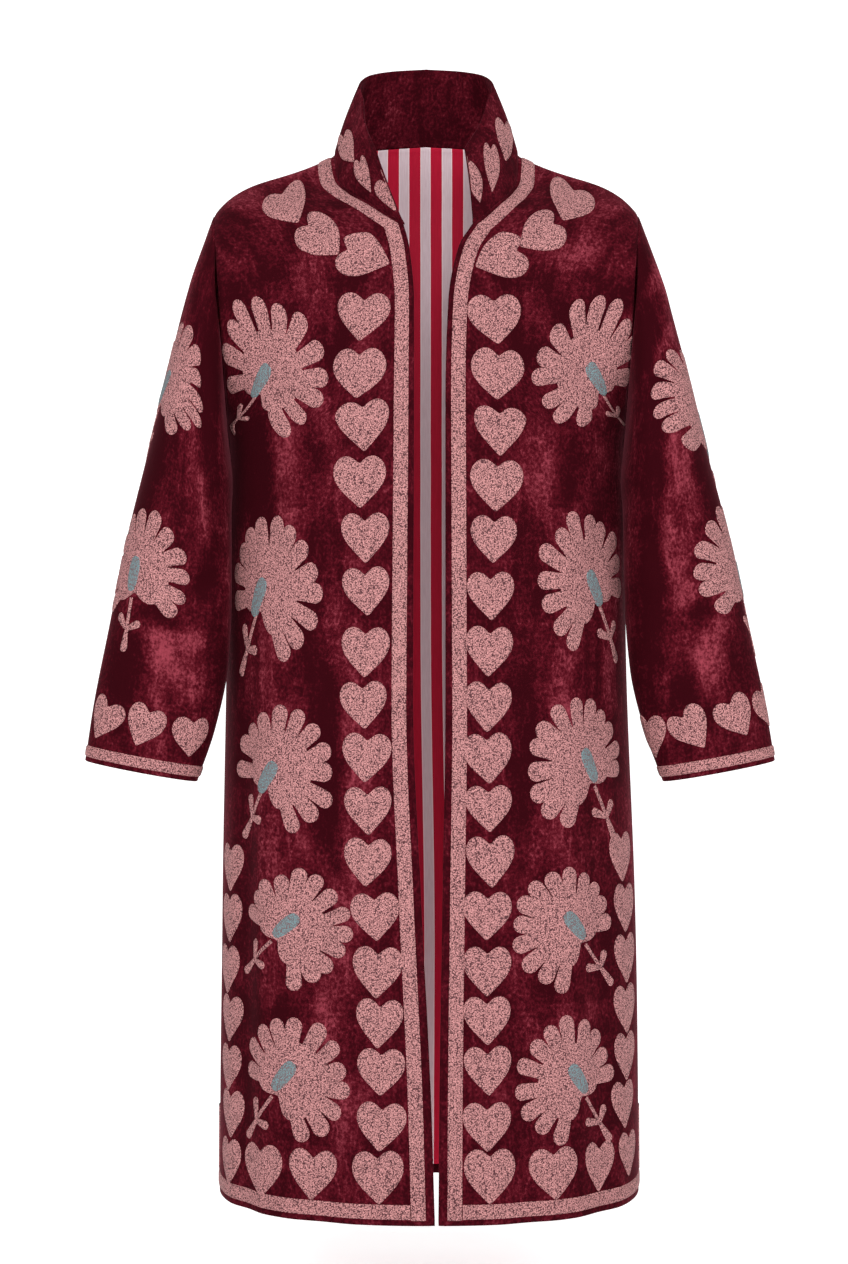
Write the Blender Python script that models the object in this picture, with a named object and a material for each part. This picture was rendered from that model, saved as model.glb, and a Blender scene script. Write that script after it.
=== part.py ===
# Long open-front duster coat of velvet, in the shape it takes when worn, with no wearer in it.
# Metres. Z is up, the front faces -Y, and left and right are the wearer's own.
# The origin is the middle of the neck base, level with the shoulder line.
import math

import bpy
import numpy as np

# Cloth thicknesses
VELVET_WALL = 0.0020
COLLAR_WALL = 0.0030
LINING_WALL = 0.0012
LINING_GAP = 0.0004
BORDER_LIFT = 0.0003
BORDER_TOP = 0.0014
SEAM_SPACE = 0.0003
ARMHOLE_SPACE = 0.0009
UNDERARM_FOLD = 3.0

# Embroidered border, measured in from each cut edge
EDGE_STRIP = 0.0045
BORDER_WIDTH = 0.0165
LINING_HEM = 0.0105
VENT_HEIGHT = 0.090
UNDERARM_STRIP = 0.018

# Heights
HEM_Z = -1.114
UNDERARM_Z = -0.290
SHOULDER_Z = -0.062
HEM_FRONT_DROP = 0.0020
HEM_SIDE_RISE = 0.0050

# Middle line of the coat, a little off centre at the top and straight at the hem
MIDDLE_X_TOP = -0.0030
MIDDLE_X_HEM = 0.0002

# Shape of the rings round the body
FRONT_ROUND = 2.35
BACK_ROUND = 2.30
ARMHOLE_TURN = math.radians(42.0)

# Armhole
SHOULDER_X = 0.2300
UNDERARM_X = 0.2160
SHOULDER_Y = 0.000
UNDERARM_Y = 0.010
ARMHOLE_FRONT = 0.074
ARMHOLE_BACK = 0.078
ARMHOLE_BOW = 0.0050
SHOULDER_ROUND = 0.040

# Share of the armhole reached by the row through the front neck corner, and numbers of cells
FRONT_NECK_SHARE = 0.595
SKIRT_ROWS = 13
FRONT_CHEST_ROWS = 6
FRONT_NECK_ROWS = 6
BACK_UPPER_ROWS = 8
FRONT_COLUMNS = 7
BACK_COLUMNS = 9
BACK_NECK_COLUMNS = 4
COLLAR_ROWS = 4
SLEEVE_RINGS = 13

# Upper back: length from underarm level to neck seam, and how fast the neck shape fades down
UPPER_BACK = 0.330
NECK_FADE = 5.0

# Half width, side seam depth and centre back depth of the body, by height
BODY_COLUMNS = ("z", "half_width", "side_y", "back_y")
BODY_TABLE = (
    (-1.114, 0.2268, 0.018, 0.100),
    (-1.000, 0.2262, 0.019, 0.100),
    (-0.800, 0.2235, 0.020, 0.102),
    (-0.550, 0.2168, 0.020, 0.106),
    (-0.400, 0.2146, 0.019, 0.110),
    (-0.330, 0.2122, 0.016, 0.112),
    (-0.305, 0.2128, 0.013, 0.112),
    (-0.290, 0.2160, 0.010, 0.112),
    (-0.160, 0.2160, 0.000, 0.110),
    (-0.060, 0.2160, 0.000, 0.099),
    (0.0285, 0.2160, 0.000, 0.076),
)

# Centre front edges, by height
EDGE_COLUMNS = ("z", "right_x", "left_x", "y")
EDGE_TABLE = (
    (-1.120, 0.0052, 0.0100, -0.155),
    (-0.988, 0.0010, 0.0112, -0.153),
    (-0.784, -0.0092, 0.0143, -0.148),
    (-0.580, -0.0174, 0.0174, -0.142),
    (-0.271, -0.0165, 0.0175, -0.130),
    (-0.166, -0.0166, 0.0207, -0.115),
    (-0.107, -0.0219, 0.0320, -0.1000),
    (-0.082, -0.0282, 0.0470, -0.0930),
)

# Neck seam and collar top by station, from the front end (0) over the shoulder (5) to centre back (8)
COLLAR_COLUMNS = ("station", "seam_x", "seam_y", "seam_z", "top_x", "top_y", "top_z")
COLLAR_TABLE = (
    (0.0, 0.0376, -0.093, -0.0820, 0.0492, -0.055, 0.0030),
    (1.0, 0.0497, -0.085, -0.0730, 0.0547, -0.045, 0.0150),
    (2.0, 0.0669, -0.070, -0.0580, 0.0608, -0.034, 0.0290),
    (3.0, 0.0838, -0.050, -0.0437, 0.0662, -0.020, 0.0490),
    (4.0, 0.0960, -0.028, -0.0255, 0.0690, -0.004, 0.0660),
    (5.0, 0.1000, 0.000, 0.0050, 0.0735, 0.015, 0.0830),
    (6.0, 0.0880, 0.040, 0.0160, 0.0665, 0.045, 0.0990),
    (7.0, 0.0500, 0.068, 0.0250, 0.0407, 0.070, 0.1092),
    (8.0, 0.0000, 0.076, 0.0285, 0.0000, 0.080, 0.1137),
)
SHOULDER_STATION = 5.0
BACK_STATION = 8.0
SEAM_SKEW = 0.0124
TOP_SKEW = -0.0076
COLLAR_BULGE = 0.002

# Sleeve, from the armhole (0) to the cuff (1)
SLEEVE_COLUMNS = ("share", "inner_x", "outer_x", "middle_y", "half_depth")
SLEEVE_TABLE = (
    (0.00, 0.2160, 0.2300, 0.005, 0.076),
    (0.10, 0.2140, 0.2540, -0.028, 0.068),
    (0.20, 0.2095, 0.2720, -0.042, 0.063),
    (0.35, 0.2080, 0.2965, -0.050, 0.060),
    (0.50, 0.2085, 0.3195, -0.052, 0.056),
    (0.68, 0.2130, 0.3395, -0.052, 0.050),
    (0.85, 0.2270, 0.3560, -0.050, 0.041),
    (1.00, 0.2470, 0.3660, -0.048, 0.036),
)
CUFF_INNER_Z = -0.6680
CUFF_TILT = 0.0225
ARMHOLE_TILT = 0.228
SLEEVE_SWING = 0.004

# Soft folds of the body: panel, share across it, half width, depth, height where it starts
FOLD_COLUMNS = ("face", "side", "share", "half_width", "depth", "start_z")
FOLD_TABLE = (
    ("front", -1, 0.36, 0.12, 0.0035, -0.55),
    ("front", -1, 0.66, 0.10, 0.0045, -0.42),
    ("front", 1, 0.30, 0.11, 0.0030, -0.62),
    ("front", 1, 0.58, 0.12, 0.0045, -0.45),
    ("back", -1, 0.22, 0.13, 0.0060, -0.45),
    ("back", -1, 0.64, 0.12, 0.0050, -0.60),
    ("back", 1, 0.30, 0.12, 0.0055, -0.52),
    ("back", 1, 0.70, 0.11, 0.0050, -0.38),
)

# Drag folds of the sleeve: share along it, turn round it in degrees, half sizes, depth, lean
SLEEVE_FOLD_COLUMNS = ("side", "share", "turn", "half_share", "half_turn", "depth", "lean")
SLEEVE_FOLD_TABLE = (
    (-1, 0.30, 50.0, 0.070, 46.0, 0.0040, 0.0012),
    (-1, 0.47, 40.0, 0.060, 50.0, 0.0045, 0.0016),
    (-1, 0.63, 55.0, 0.065, 52.0, 0.0035, -0.0012),
    (1, 0.34, 48.0, 0.065, 48.0, 0.0045, 0.0014),
    (1, 0.52, 42.0, 0.065, 52.0, 0.0040, 0.0010),
    (1, 0.68, 58.0, 0.070, 46.0, 0.0035, -0.0014),
    (-1, 0.40, 300.0, 0.080, 50.0, 0.0040, 0.0010),
    (1, 0.44, 305.0, 0.080, 50.0, 0.0040, -0.0010),
)

# Colours: linear red, green, blue, and roughness
VELVET = ((0.120, 0.012, 0.030), 0.85)
THREAD = ((0.440, 0.200, 0.190), 0.80)
STRIPE = ((0.400, 0.090, 0.120), 0.60)


def column(table, names, name):
    place = names.index(name)
    return np.array([row[place] for row in table], dtype=float)


def ease(share):
    share = np.clip(share, 0.0, 1.0)
    return share * share * (3.0 - 2.0 * share)


def through(known, values, wanted):
    """Smooth curve through table values that never runs past them."""
    step = np.diff(known)
    slope = np.diff(values) / step
    lean = np.zeros(len(values))
    for i in range(1, len(values) - 1):
        if slope[i - 1] * slope[i] > 0.0:
            near = 2.0 * step[i] + step[i - 1]
            far = step[i] + 2.0 * step[i - 1]
            lean[i] = (near + far) / (near / slope[i - 1] + far / slope[i])
    lean[0] = slope[0]
    lean[-1] = slope[-1]
    wanted = np.clip(wanted, known[0], known[-1])
    i = np.clip(np.searchsorted(known, wanted) - 1, 0, len(known) - 2)
    t = (wanted - known[i]) / step[i]
    rise = 3.0 * t * t - 2.0 * t * t * t
    start = (t - 2.0 * t * t + t * t * t) * step[i] * lean[i]
    end = (t * t * t - t * t) * step[i] * lean[i + 1]
    return values[i] * (1.0 - rise) + values[i + 1] * rise + start + end


def body_size(name, z):
    return through(column(BODY_TABLE, BODY_COLUMNS, "z"), column(BODY_TABLE, BODY_COLUMNS, name), z)


def edge_size(name, z):
    return through(column(EDGE_TABLE, EDGE_COLUMNS, "z"), column(EDGE_TABLE, EDGE_COLUMNS, name), z)


def collar_size(name, station):
    known = column(COLLAR_TABLE, COLLAR_COLUMNS, "station")
    return through(known, column(COLLAR_TABLE, COLLAR_COLUMNS, name), station)


def sleeve_size(name, share):
    known = column(SLEEVE_TABLE, SLEEVE_COLUMNS, "share")
    return through(known, column(SLEEVE_TABLE, SLEEVE_COLUMNS, name), share)


def middle_x(z):
    return MIDDLE_X_TOP + (MIDDLE_X_HEM - MIDDLE_X_TOP) * ease((-0.50 - z) / 0.40)


def neck_seam(side, station):
    """Point of the seam between body and collar."""
    skew = SEAM_SKEW * (1.0 - ease(station / SHOULDER_STATION))
    x = MIDDLE_X_TOP + side * collar_size("seam_x", station) + skew
    return np.array([x, collar_size("seam_y", station), collar_size("seam_z", station)])


def collar_top(side, station):
    skew = TOP_SKEW * (1.0 - ease(station / SHOULDER_STATION))
    x = MIDDLE_X_TOP + side * collar_size("top_x", station) + skew
    return np.array([x, collar_size("top_y", station), collar_size("top_z", station)])


def armhole(face, side, share):
    """Point of the armhole, from the underarm (0) to the shoulder (1)."""
    turn = math.pi * share
    up = 0.5 - 0.5 * math.cos(turn)
    half = UNDERARM_X + (SHOULDER_X - UNDERARM_X) * up - ARMHOLE_BOW * math.sin(turn)
    deep = -ARMHOLE_FRONT if face == "front" else ARMHOLE_BACK
    y = UNDERARM_Y + (SHOULDER_Y - UNDERARM_Y) * up + deep * math.sin(turn)
    z = UNDERARM_Z + (SHOULDER_Z - UNDERARM_Z) * up
    return np.array([MIDDLE_X_TOP + side * half, y, z])


def shoulder_bulge(share):
    """Height of the rounded shoulder line, most of it near the armhole."""
    return share ** 2 - share ** 5


def fold_depth(face, side, share, z):
    """How far the cloth sinks at a place of a panel."""
    total = np.zeros_like(share)
    for fold_face, fold_side, middle, half, depth, start in FOLD_TABLE:
        if fold_face != face or fold_side != side:
            continue
        grown = ease((start - z) / 0.45)
        across = np.clip(np.abs(share - middle) / half, 0.0, 1.0)
        total = total + depth * grown * (0.5 + 0.5 * np.cos(math.pi * across))
    return total


def body_row(face, side, inner, outer, turn, bulge, skirt_z):
    """Fine line of points across a half panel, from its inner to its outer edge."""
    power = 2.0 / (FRONT_ROUND if face == "front" else BACK_ROUND)
    centre = middle_x(outer[2])
    end_c = math.cos(turn) ** power
    end_s = math.sin(turn) ** power
    reach = (outer[0] - centre) / end_c
    start_c = (inner[0] - centre) / reach
    start = math.acos(math.copysign(abs(start_c) ** (1.0 / power), start_c))
    start_s = abs(math.sin(start)) ** power
    held = (1.0 - start_s) / (1.0 - end_s)
    crown = (inner[1] - outer[1] * held) / (1.0 - held)
    angle = np.linspace(start, turn, 321)
    cosine = np.cos(angle)
    x = centre + reach * np.sign(cosine) * np.abs(cosine) ** power
    y = crown + (outer[1] - crown) * (1.0 - np.abs(np.sin(angle)) ** power) / (1.0 - end_s)
    plan = np.concatenate(([0.0], np.cumsum(np.hypot(np.diff(x), np.diff(y)))))
    share = plan / plan[-1]
    z = inner[2] + (outer[2] - inner[2]) * share + bulge * shoulder_bulge(share)
    if skirt_z is not None:
        near_hem = 1.0 - ease((skirt_z - HEM_Z) / 0.25)
        middle_shift = -HEM_FRONT_DROP if face == "front" else 0.0
        z = z + near_hem * (middle_shift * (1.0 - ease(share)) + HEM_SIDE_RISE * share ** 4)
        dx = np.gradient(x)
        dy = np.gradient(y)
        size = np.hypot(dx, dy)
        out = 1.0 if face == "front" else -1.0
        sink = fold_depth(face, side, share, skirt_z)
        x = x + side * out * sink * -dy / size
        y = y + side * out * sink * dx / size
    return np.stack([x, y, z], axis=1)


def at_distances(line, distances):
    along = np.concatenate(([0.0], np.cumsum(np.linalg.norm(np.diff(line, axis=0), axis=1))))
    return np.stack([np.interp(distances, along, line[:, k]) for k in range(3)], axis=1)


def line_length(line):
    return float(np.sum(np.linalg.norm(np.diff(line, axis=0), axis=1)))


def skirt_levels():
    """Heights of the rows from the hem to the underarm."""
    near = [0.0, EDGE_STRIP, LINING_HEM, EDGE_STRIP + BORDER_WIDTH, 0.055, VENT_HEIGHT]
    low = HEM_Z + VENT_HEIGHT
    high = UNDERARM_Z - UNDERARM_STRIP
    up = [low + (high - low) * k / SKIRT_ROWS for k in range(1, SKIRT_ROWS + 1)]
    return [HEM_Z + d for d in near] + up + [UNDERARM_Z]


def panel_columns(count, length, from_middle):
    edge = [] if from_middle else [EDGE_STRIP, EDGE_STRIP + BORDER_WIDTH]
    low = 0.0 if from_middle else EDGE_STRIP + BORDER_WIDTH
    high = length - EDGE_STRIP - BORDER_WIDTH
    mid = [low + (high - low) * k / count for k in range(1, count)]
    return np.array([0.0] + edge + mid + [high, length - EDGE_STRIP, length])


def half_panel(face, side):
    """Grid of points of a front, or of half the back, from the hem up to the shoulder seam."""
    grid = []
    edge_name = "right_x" if side < 0 else "left_x"
    count = FRONT_COLUMNS if face == "front" else BACK_COLUMNS
    for z in skirt_levels():
        outer_x = middle_x(z) + side * body_size("half_width", z)
        outer = np.array([outer_x, body_size("side_y", z), z])
        if face == "front":
            inner = np.array([edge_size(edge_name, z), edge_size("y", z), z])
        else:
            inner = np.array([middle_x(z), body_size("back_y", z), z])
        line = body_row(face, side, inner, outer, 0.0, 0.0, z)
        grid.append(at_distances(line, panel_columns(count, line_length(line), face == "back")))
    if face == "back":
        return np.array(grid + upper_back(side, grid[-1]))
    neck_z = neck_seam(side, 0.0)[2]
    for k in range(1, FRONT_CHEST_ROWS + FRONT_NECK_ROWS + 1):
        if k <= FRONT_CHEST_ROWS:
            share = FRONT_NECK_SHARE * k / FRONT_CHEST_ROWS
            z = UNDERARM_Z + (neck_z - UNDERARM_Z) * k / FRONT_CHEST_ROWS
            inner = np.array([edge_size(edge_name, z), edge_size("y", z), z])
        else:
            along = (k - FRONT_CHEST_ROWS) / FRONT_NECK_ROWS
            share = FRONT_NECK_SHARE + (1.0 - FRONT_NECK_SHARE) * along
            inner = neck_seam(side, SHOULDER_STATION * along)
        outer = armhole(face, side, share)
        turn = ARMHOLE_TURN * ease(share / 0.45)
        bulge = SHOULDER_ROUND * ease((share - 0.55) / 0.45)
        line = body_row(face, side, inner, outer, turn, bulge, None)
        grid.append(at_distances(line, panel_columns(count, line_length(line), False)))
    return np.array(grid)


def back_shares():
    """Shares of the armhole where the back has its rows above the underarm."""
    last = [1.0 - (EDGE_STRIP + BORDER_WIDTH) / UPPER_BACK, 1.0 - EDGE_STRIP / UPPER_BACK, 1.0]
    return [last[0] * k / BACK_UPPER_ROWS for k in range(BACK_UPPER_ROWS)] + last


def front_shares():
    """Shares of the armhole where a front has its rows above the underarm."""
    low = [FRONT_NECK_SHARE * k / FRONT_CHEST_ROWS for k in range(FRONT_CHEST_ROWS + 1)]
    rest = 1.0 - FRONT_NECK_SHARE
    return low + [FRONT_NECK_SHARE + rest * k / FRONT_NECK_ROWS for k in range(1, FRONT_NECK_ROWS + 1)]


def shoulder_seam(side, share):
    """Point of the shoulder seam, from the neck (0) to the armhole (1)."""
    neck = neck_seam(side, SHOULDER_STATION)
    tip = armhole("back", side, 1.0)
    point = neck + (tip - neck) * share
    point[2] += SHOULDER_ROUND * shoulder_bulge(share)
    return point


def upper_back(side, base):
    """Rows of half the back from the underarm up to the neck and shoulder seams."""
    lines = len(base)
    steps = np.linalg.norm(np.diff(base, axis=0), axis=1)
    across = np.concatenate(([0.0], np.cumsum(steps))) / np.sum(steps)
    at_neck = across[BACK_NECK_COLUMNS]
    top = []
    for k in range(lines):
        if k <= BACK_NECK_COLUMNS:
            part = k / BACK_NECK_COLUMNS
            top.append(neck_seam(side, BACK_STATION + (SHOULDER_STATION - BACK_STATION) * part))
        else:
            top.append(shoulder_seam(side, (across[k] - at_neck) / (1.0 - at_neck)))
    top = np.array(top)
    plain = top.copy()
    plain[:, 0] = top[0, 0] + (top[-1, 0] - top[0, 0]) * np.sin(0.5 * math.pi * across)
    plain[:, 2] = top[0, 2] + (top[-1, 2] - top[0, 2]) * across ** 1.6
    fall = (base[0, 1] - base[:, 1]) / (base[0, 1] - base[-1, 1])
    weight = across[:, None]
    rows = []
    for share in back_shares()[1:]:
        z = base[0, 2] + (top[0, 2] - base[0, 2]) * share
        middle = np.array([MIDDLE_X_TOP, body_size("back_y", z), z])
        straight_middle = base[0] + (top[0] - base[0]) * share
        side_point = armhole("back", side, share)
        straight_side = base[-1] + (top[-1] - base[-1]) * share
        row = base * (1.0 - share) + plain * share + (top - plain) * share ** NECK_FADE
        row = row + (middle - straight_middle) * (1.0 - weight) + (side_point - straight_side) * weight
        over = 1.0 - math.sqrt(1.0 - min(share, 1.0) ** 2)
        row[:, 1] = middle[1] - (middle[1] - side_point[1]) * fall
        row[:, 1] += (top[:, 1] - top[0, 1] * (1.0 - fall)) * over
        rows.append(row)
    rows[-1] = top
    return rows


def sleeve_sink(side, share, turn):
    total = 0.0
    for fold_side, along, middle, half_share, half_turn, depth, lean in SLEEVE_FOLD_TABLE:
        if fold_side != side:
            continue
        off_turn = (turn - middle + 180.0) % 360.0 - 180.0
        off_share = share - along - lean * off_turn
        reach = math.hypot(off_share / half_share, off_turn / half_turn)
        if reach < 1.0:
            total += depth * (0.5 + 0.5 * math.cos(math.pi * reach))
    return total


def sleeve_point(side, share, turn):
    """Point of a sleeve; turn runs in degrees from the underarm over the front."""
    inner_z = UNDERARM_Z + (CUFF_INNER_Z - UNDERARM_Z) * share
    tilt = CUFF_TILT + (ARMHOLE_TILT - CUFF_TILT) * (1.0 - share) ** 2.2
    middle = MIDDLE_X_TOP + SLEEVE_SWING * share
    inner_x = middle + side * sleeve_size("inner_x", share)
    outer_x = middle + side * sleeve_size("outer_x", share)
    inner = np.array([inner_x, 0.0, inner_z])
    outer = np.array([outer_x, 0.0, inner_z + tilt])
    angle = math.radians(turn)
    middle_point = 0.5 * (inner + outer)
    point = middle_point - 0.5 * (outer - inner) * math.cos(angle)
    point[1] = sleeve_size("middle_y", share) - sleeve_size("half_depth", share) * math.sin(angle)
    face = "front" if turn <= 180.0 else "back"
    along = turn / 180.0 if turn <= 180.0 else (360.0 - turn) / 180.0
    start = armhole(face, side, along)
    keep = 1.0 - ease(share / 0.22)
    if share == 0.0:
        return start
    ring_start = 0.5 * (armhole(face, side, 0.0) + armhole(face, side, 1.0))
    low = armhole(face, side, 0.0)
    high = armhole(face, side, 1.0)
    plain = ring_start - 0.5 * (high - low) * math.cos(angle)
    plain[1] = sleeve_size("middle_y", 0.0) - sleeve_size("half_depth", 0.0) * math.sin(angle)
    point = point + (start - plain) * keep
    out = point - middle_point
    out[1] = point[1] - sleeve_size("middle_y", share)
    out = out / np.linalg.norm(out)
    return point - out * sleeve_sink(side, share, turn)


def sleeve_shares():
    """Shares of the sleeve length where its rings lie."""
    length = 0.40
    last = [1.0 - (EDGE_STRIP + BORDER_WIDTH) / length, 1.0 - EDGE_STRIP / length, 1.0]
    return [last[0] * k / SLEEVE_RINGS for k in range(SLEEVE_RINGS)] + last


def cells_of(rows, columns, closed):
    cells = []
    for i in range(rows - 1):
        for j in range(columns if closed else columns - 1):
            right = (j + 1) % columns
            cells.append(((i, j), (i * columns + j, i * columns + right,
                                   (i + 1) * columns + right, (i + 1) * columns + j)))
    return cells


def cloth(grid, closed, inside):
    """Piece of cloth: points, four-cornered cells and their places, faced away from inside."""
    rows, columns = grid.shape[:2]
    points = grid.reshape(-1, 3)
    cells = cells_of(rows, columns, closed)
    corners = points[list(cells[len(cells) // 2][1])]
    normal = np.cross(corners[2] - corners[0], corners[3] - corners[1])
    if np.dot(normal, corners.mean(axis=0) - inside) < 0.0:
        cells = [(place, quad[::-1]) for place, quad in cells]
    return {"points": points, "cells": cells}


def joined(first, second):
    """Two pieces made one along the points they share."""
    points = []
    found = {}
    cells = []
    for tag, piece in (("a", first), ("b", second)):
        moved = []
        for point in piece["points"]:
            key = tuple(np.round(point, 7))
            if key not in found:
                found[key] = len(points)
                points.append(point)
            moved.append(found[key])
        for place, quad in piece["cells"]:
            cells.append(((tag,) + place, tuple(moved[k] for k in quad)))
    return {"points": np.array(points), "cells": cells}


def give_normals(pieces):
    """Directions square to the cloth, shared by pieces that meet at a seam."""
    total = {}
    for piece in pieces:
        own = np.zeros_like(piece["points"])
        for place, quad in piece["cells"]:
            corners = piece["points"][list(quad)]
            normal = np.cross(corners[2] - corners[0], corners[3] - corners[1])
            own[list(quad)] += normal / np.linalg.norm(normal)
        own = own / np.linalg.norm(own, axis=1)[:, None]
        for point, normal in zip(piece["points"], own):
            key = tuple(np.round(point, 6))
            total[key] = total.get(key, np.zeros(3)) + normal
    # At the underarm the cloth folds back on itself, and both sides face down into the fold
    for side in (-1, 1):
        for face, shares in (("front", front_shares()), ("back", back_shares()[1:])):
            for share in shares:
                key = tuple(np.round(armhole(face, side, share), 6))
                fold = max(0.0, math.cos(math.pi * share)) ** 2
                total[key] = total[key] - np.array([0.0, 0.0, UNDERARM_FOLD * fold])
    for piece in pieces:
        normals = [total[tuple(np.round(point, 6))] for point in piece["points"]]
        normals = np.array(normals)
        # All pieces at the shoulder seam share a direction that is square to it
        for k, point in enumerate(piece["points"]):
            if abs(point[1]) < 1.0e-6 and point[2] > SHOULDER_Z - 0.001:
                side = 1.0 if point[0] > 0.0 else -1.0
                neck = neck_seam(side, SHOULDER_STATION)
                tip = armhole("back", side, 1.0)
                share = (point[0] - neck[0]) / (tip[0] - neck[0])
                run = tip - neck
                rise = run[2] + SHOULDER_ROUND * (2.0 * share - 5.0 * share ** 4)
                if 0.01 < share < 0.99:
                    normals[k] = np.array([-rise * side, 0.0, abs(run[0])])
                normals[k][1] = 0.0
        piece["normals"] = normals / np.linalg.norm(normals, axis=1)[:, None]


def halves(points, quad):
    """Two triangles of a four-cornered cell, split so that the cloth bulges outward."""
    a, b, c, d = quad
    normal = np.cross(points[c] - points[a], points[d] - points[b])
    if np.dot(points[a] + points[c] - points[b] - points[d], normal) >= 0.0:
        return [(a, b, c), (a, c, d)]
    return [(b, c, d), (b, d, a)]


def wall(name, piece, keep, top, bottom, colour):
    """Closed solid on the chosen cells of a piece, between two heights off it."""
    quads = [quad for place, quad in piece["cells"] if keep(place)]
    points = piece["points"]
    edges = {}
    for quad in quads:
        corners = points[list(quad)]
        normal = np.cross(corners[2] - corners[0], corners[3] - corners[1])
        for a, b in zip(quad, quad[1:] + quad[:1]):
            inward = np.cross(normal, points[b] - points[a])
            edges[(a, b)] = inward / np.linalg.norm(inward)
    rim = [(a, b) for a, b in edges if (b, a) not in edges]
    push = {}
    for a, b in rim:
        push.setdefault(a, []).append(edges[(a, b)])
        push.setdefault(b, []).append(edges[(a, b)])
    used = sorted(set(k for quad in quads for k in quad))
    place_of = dict((k, n) for n, k in enumerate(used))
    count = len(used)
    upper = []
    lower = []
    for k in used:
        point = points[k].copy()
        if k in push:
            first, second = push[k]
            point += (first + second) / max(0.4, 1.0 + np.dot(first, second)) * SEAM_SPACE
        upper.append(point + piece["normals"][k] * top)
        lower.append(point + piece["normals"][k] * bottom)
    triangles = [part for quad in quads for part in halves(points, quad)]
    faces = [tuple(place_of[k] for k in part) for part in triangles]
    faces = faces + [tuple(place_of[k] + count for k in part[::-1]) for part in triangles]
    for a, b in rim:
        faces.append((place_of[a] + count, place_of[b] + count, place_of[b], place_of[a]))
    mesh = bpy.data.meshes.new(name)
    mesh.from_pydata([tuple(p) for p in upper + lower], [], faces)
    mesh.update()
    thing = bpy.data.objects.new(name, mesh)
    bpy.context.scene.collection.objects.link(thing)
    material = bpy.data.materials.new(name + "_material")
    material.use_nodes = True
    shader = material.node_tree.nodes["Principled BSDF"]
    shader.inputs["Base Color"].default_value = colour[0] + (1.0,)
    shader.inputs["Roughness"].default_value = colour[1]
    shader.inputs["Metallic"].default_value = 0.0
    mesh.materials.append(material)
    return thing


for old in list(bpy.data.objects):
    bpy.data.objects.remove(old, do_unlink=True)

SIDES = (("right", -1), ("left", 1))
BODY_INSIDE = np.array([0.0, 0.0, -0.60])

# Body panels
fronts = {}
backs = {}
for side_name, side in SIDES:
    fronts[side] = cloth(half_panel("front", side), False, BODY_INSIDE)
    backs[side] = cloth(half_panel("back", side), False, BODY_INSIDE)
back = joined(backs[-1], backs[1])

# Sleeves, with a ring point at each panel row of the armhole
sleeves = {}
for side_name, side in SIDES:
    turns = [180.0 * s for s in front_shares()]
    turns = turns + [360.0 - 180.0 * s for s in back_shares()[-2:0:-1]]
    shares = sleeve_shares()
    rings = np.array([[sleeve_point(side, s, t) for t in turns] for s in shares])
    middle_ring = rings[len(shares) // 2].mean(axis=0)
    sleeves[side] = cloth(rings, True, middle_ring)

# Stand collar, with a column at each panel row of the neck seam
stations = [(-1, SHOULDER_STATION * k / FRONT_NECK_ROWS) for k in range(FRONT_NECK_ROWS + 1)]
span = BACK_STATION - SHOULDER_STATION
stations = stations + [(-1, SHOULDER_STATION + span * k / BACK_NECK_COLUMNS)
                       for k in range(1, BACK_NECK_COLUMNS + 1)]
stations = stations + [(1, s) for k, s in stations[-2::-1]]
collar_grid = []
for row in range(COLLAR_ROWS + 1):
    share = row / COLLAR_ROWS
    line = []
    for side, station in stations:
        low = neck_seam(side, station)
        high = collar_top(side, station)
        point = low + (high - low) * share
        out = np.array([low[0] - MIDDLE_X_TOP, low[1], 0.0])
        out = out / np.linalg.norm(out)
        line.append(point + out * COLLAR_BULGE * math.sin(math.pi * share))
    collar_grid.append(line)
collar = cloth(np.array(collar_grid), False, np.array([0.0, 0.0, 0.04]))

give_normals([fronts[-1], fronts[1], back, sleeves[-1], sleeves[1], collar])

# The first ring of each sleeve stands a little out from the armhole it is sewn to
for side_name, side in SIDES:
    sleeves[side]["points"][:len(front_shares()) + len(back_shares()) - 2, 0] += side * ARMHOLE_SPACE

# Velvet pieces
for side_name, side in SIDES:
    wall("front_" + side_name, fronts[side], lambda place: True, 0.0, -VELVET_WALL, VELVET)
wall("back", back, lambda place: True, 0.0, -VELVET_WALL, VELVET)
for side_name, side in SIDES:
    wall("sleeve_" + side_name, sleeves[side], lambda place: True, 0.0, -VELVET_WALL, VELVET)
wall("collar", collar, lambda place: True, 0.0, -COLLAR_WALL, VELVET)

# Striped lining behind the body panels, clear of the hem
lining_top = -VELVET_WALL - LINING_GAP
lining_low = lining_top - LINING_WALL
for side_name, side in SIDES:
    wall("lining_front_" + side_name, fronts[side], lambda place: place[0] >= 2,
         lining_top, lining_low, STRIPE)
wall("lining_back", back, lambda place: place[1] >= 2, lining_top, lining_low, STRIPE)

# Embroidered borders, raised off the velvet
FRONT_LAST = FRONT_COLUMNS + 4
BACK_LAST_ROW = len(skirt_levels()) - 1 + len(back_shares()) - 1


def on_front_border(place):
    row, col = place
    if col == 1 and row >= 1:
        return True
    if row in (1, 2) and 1 <= col < FRONT_LAST - 1:
        return True
    return col == FRONT_LAST - 2 and 1 <= row <= 4


def on_back_hem(place):
    tag, row, col = place
    if row in (1, 2) and col < BACK_COLUMNS + 1:
        return True
    return col == BACK_COLUMNS and 1 <= row <= 4


def on_back_neck(place):
    tag, row, col = place
    return row == BACK_LAST_ROW - 2 and col < BACK_NECK_COLUMNS


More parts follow.
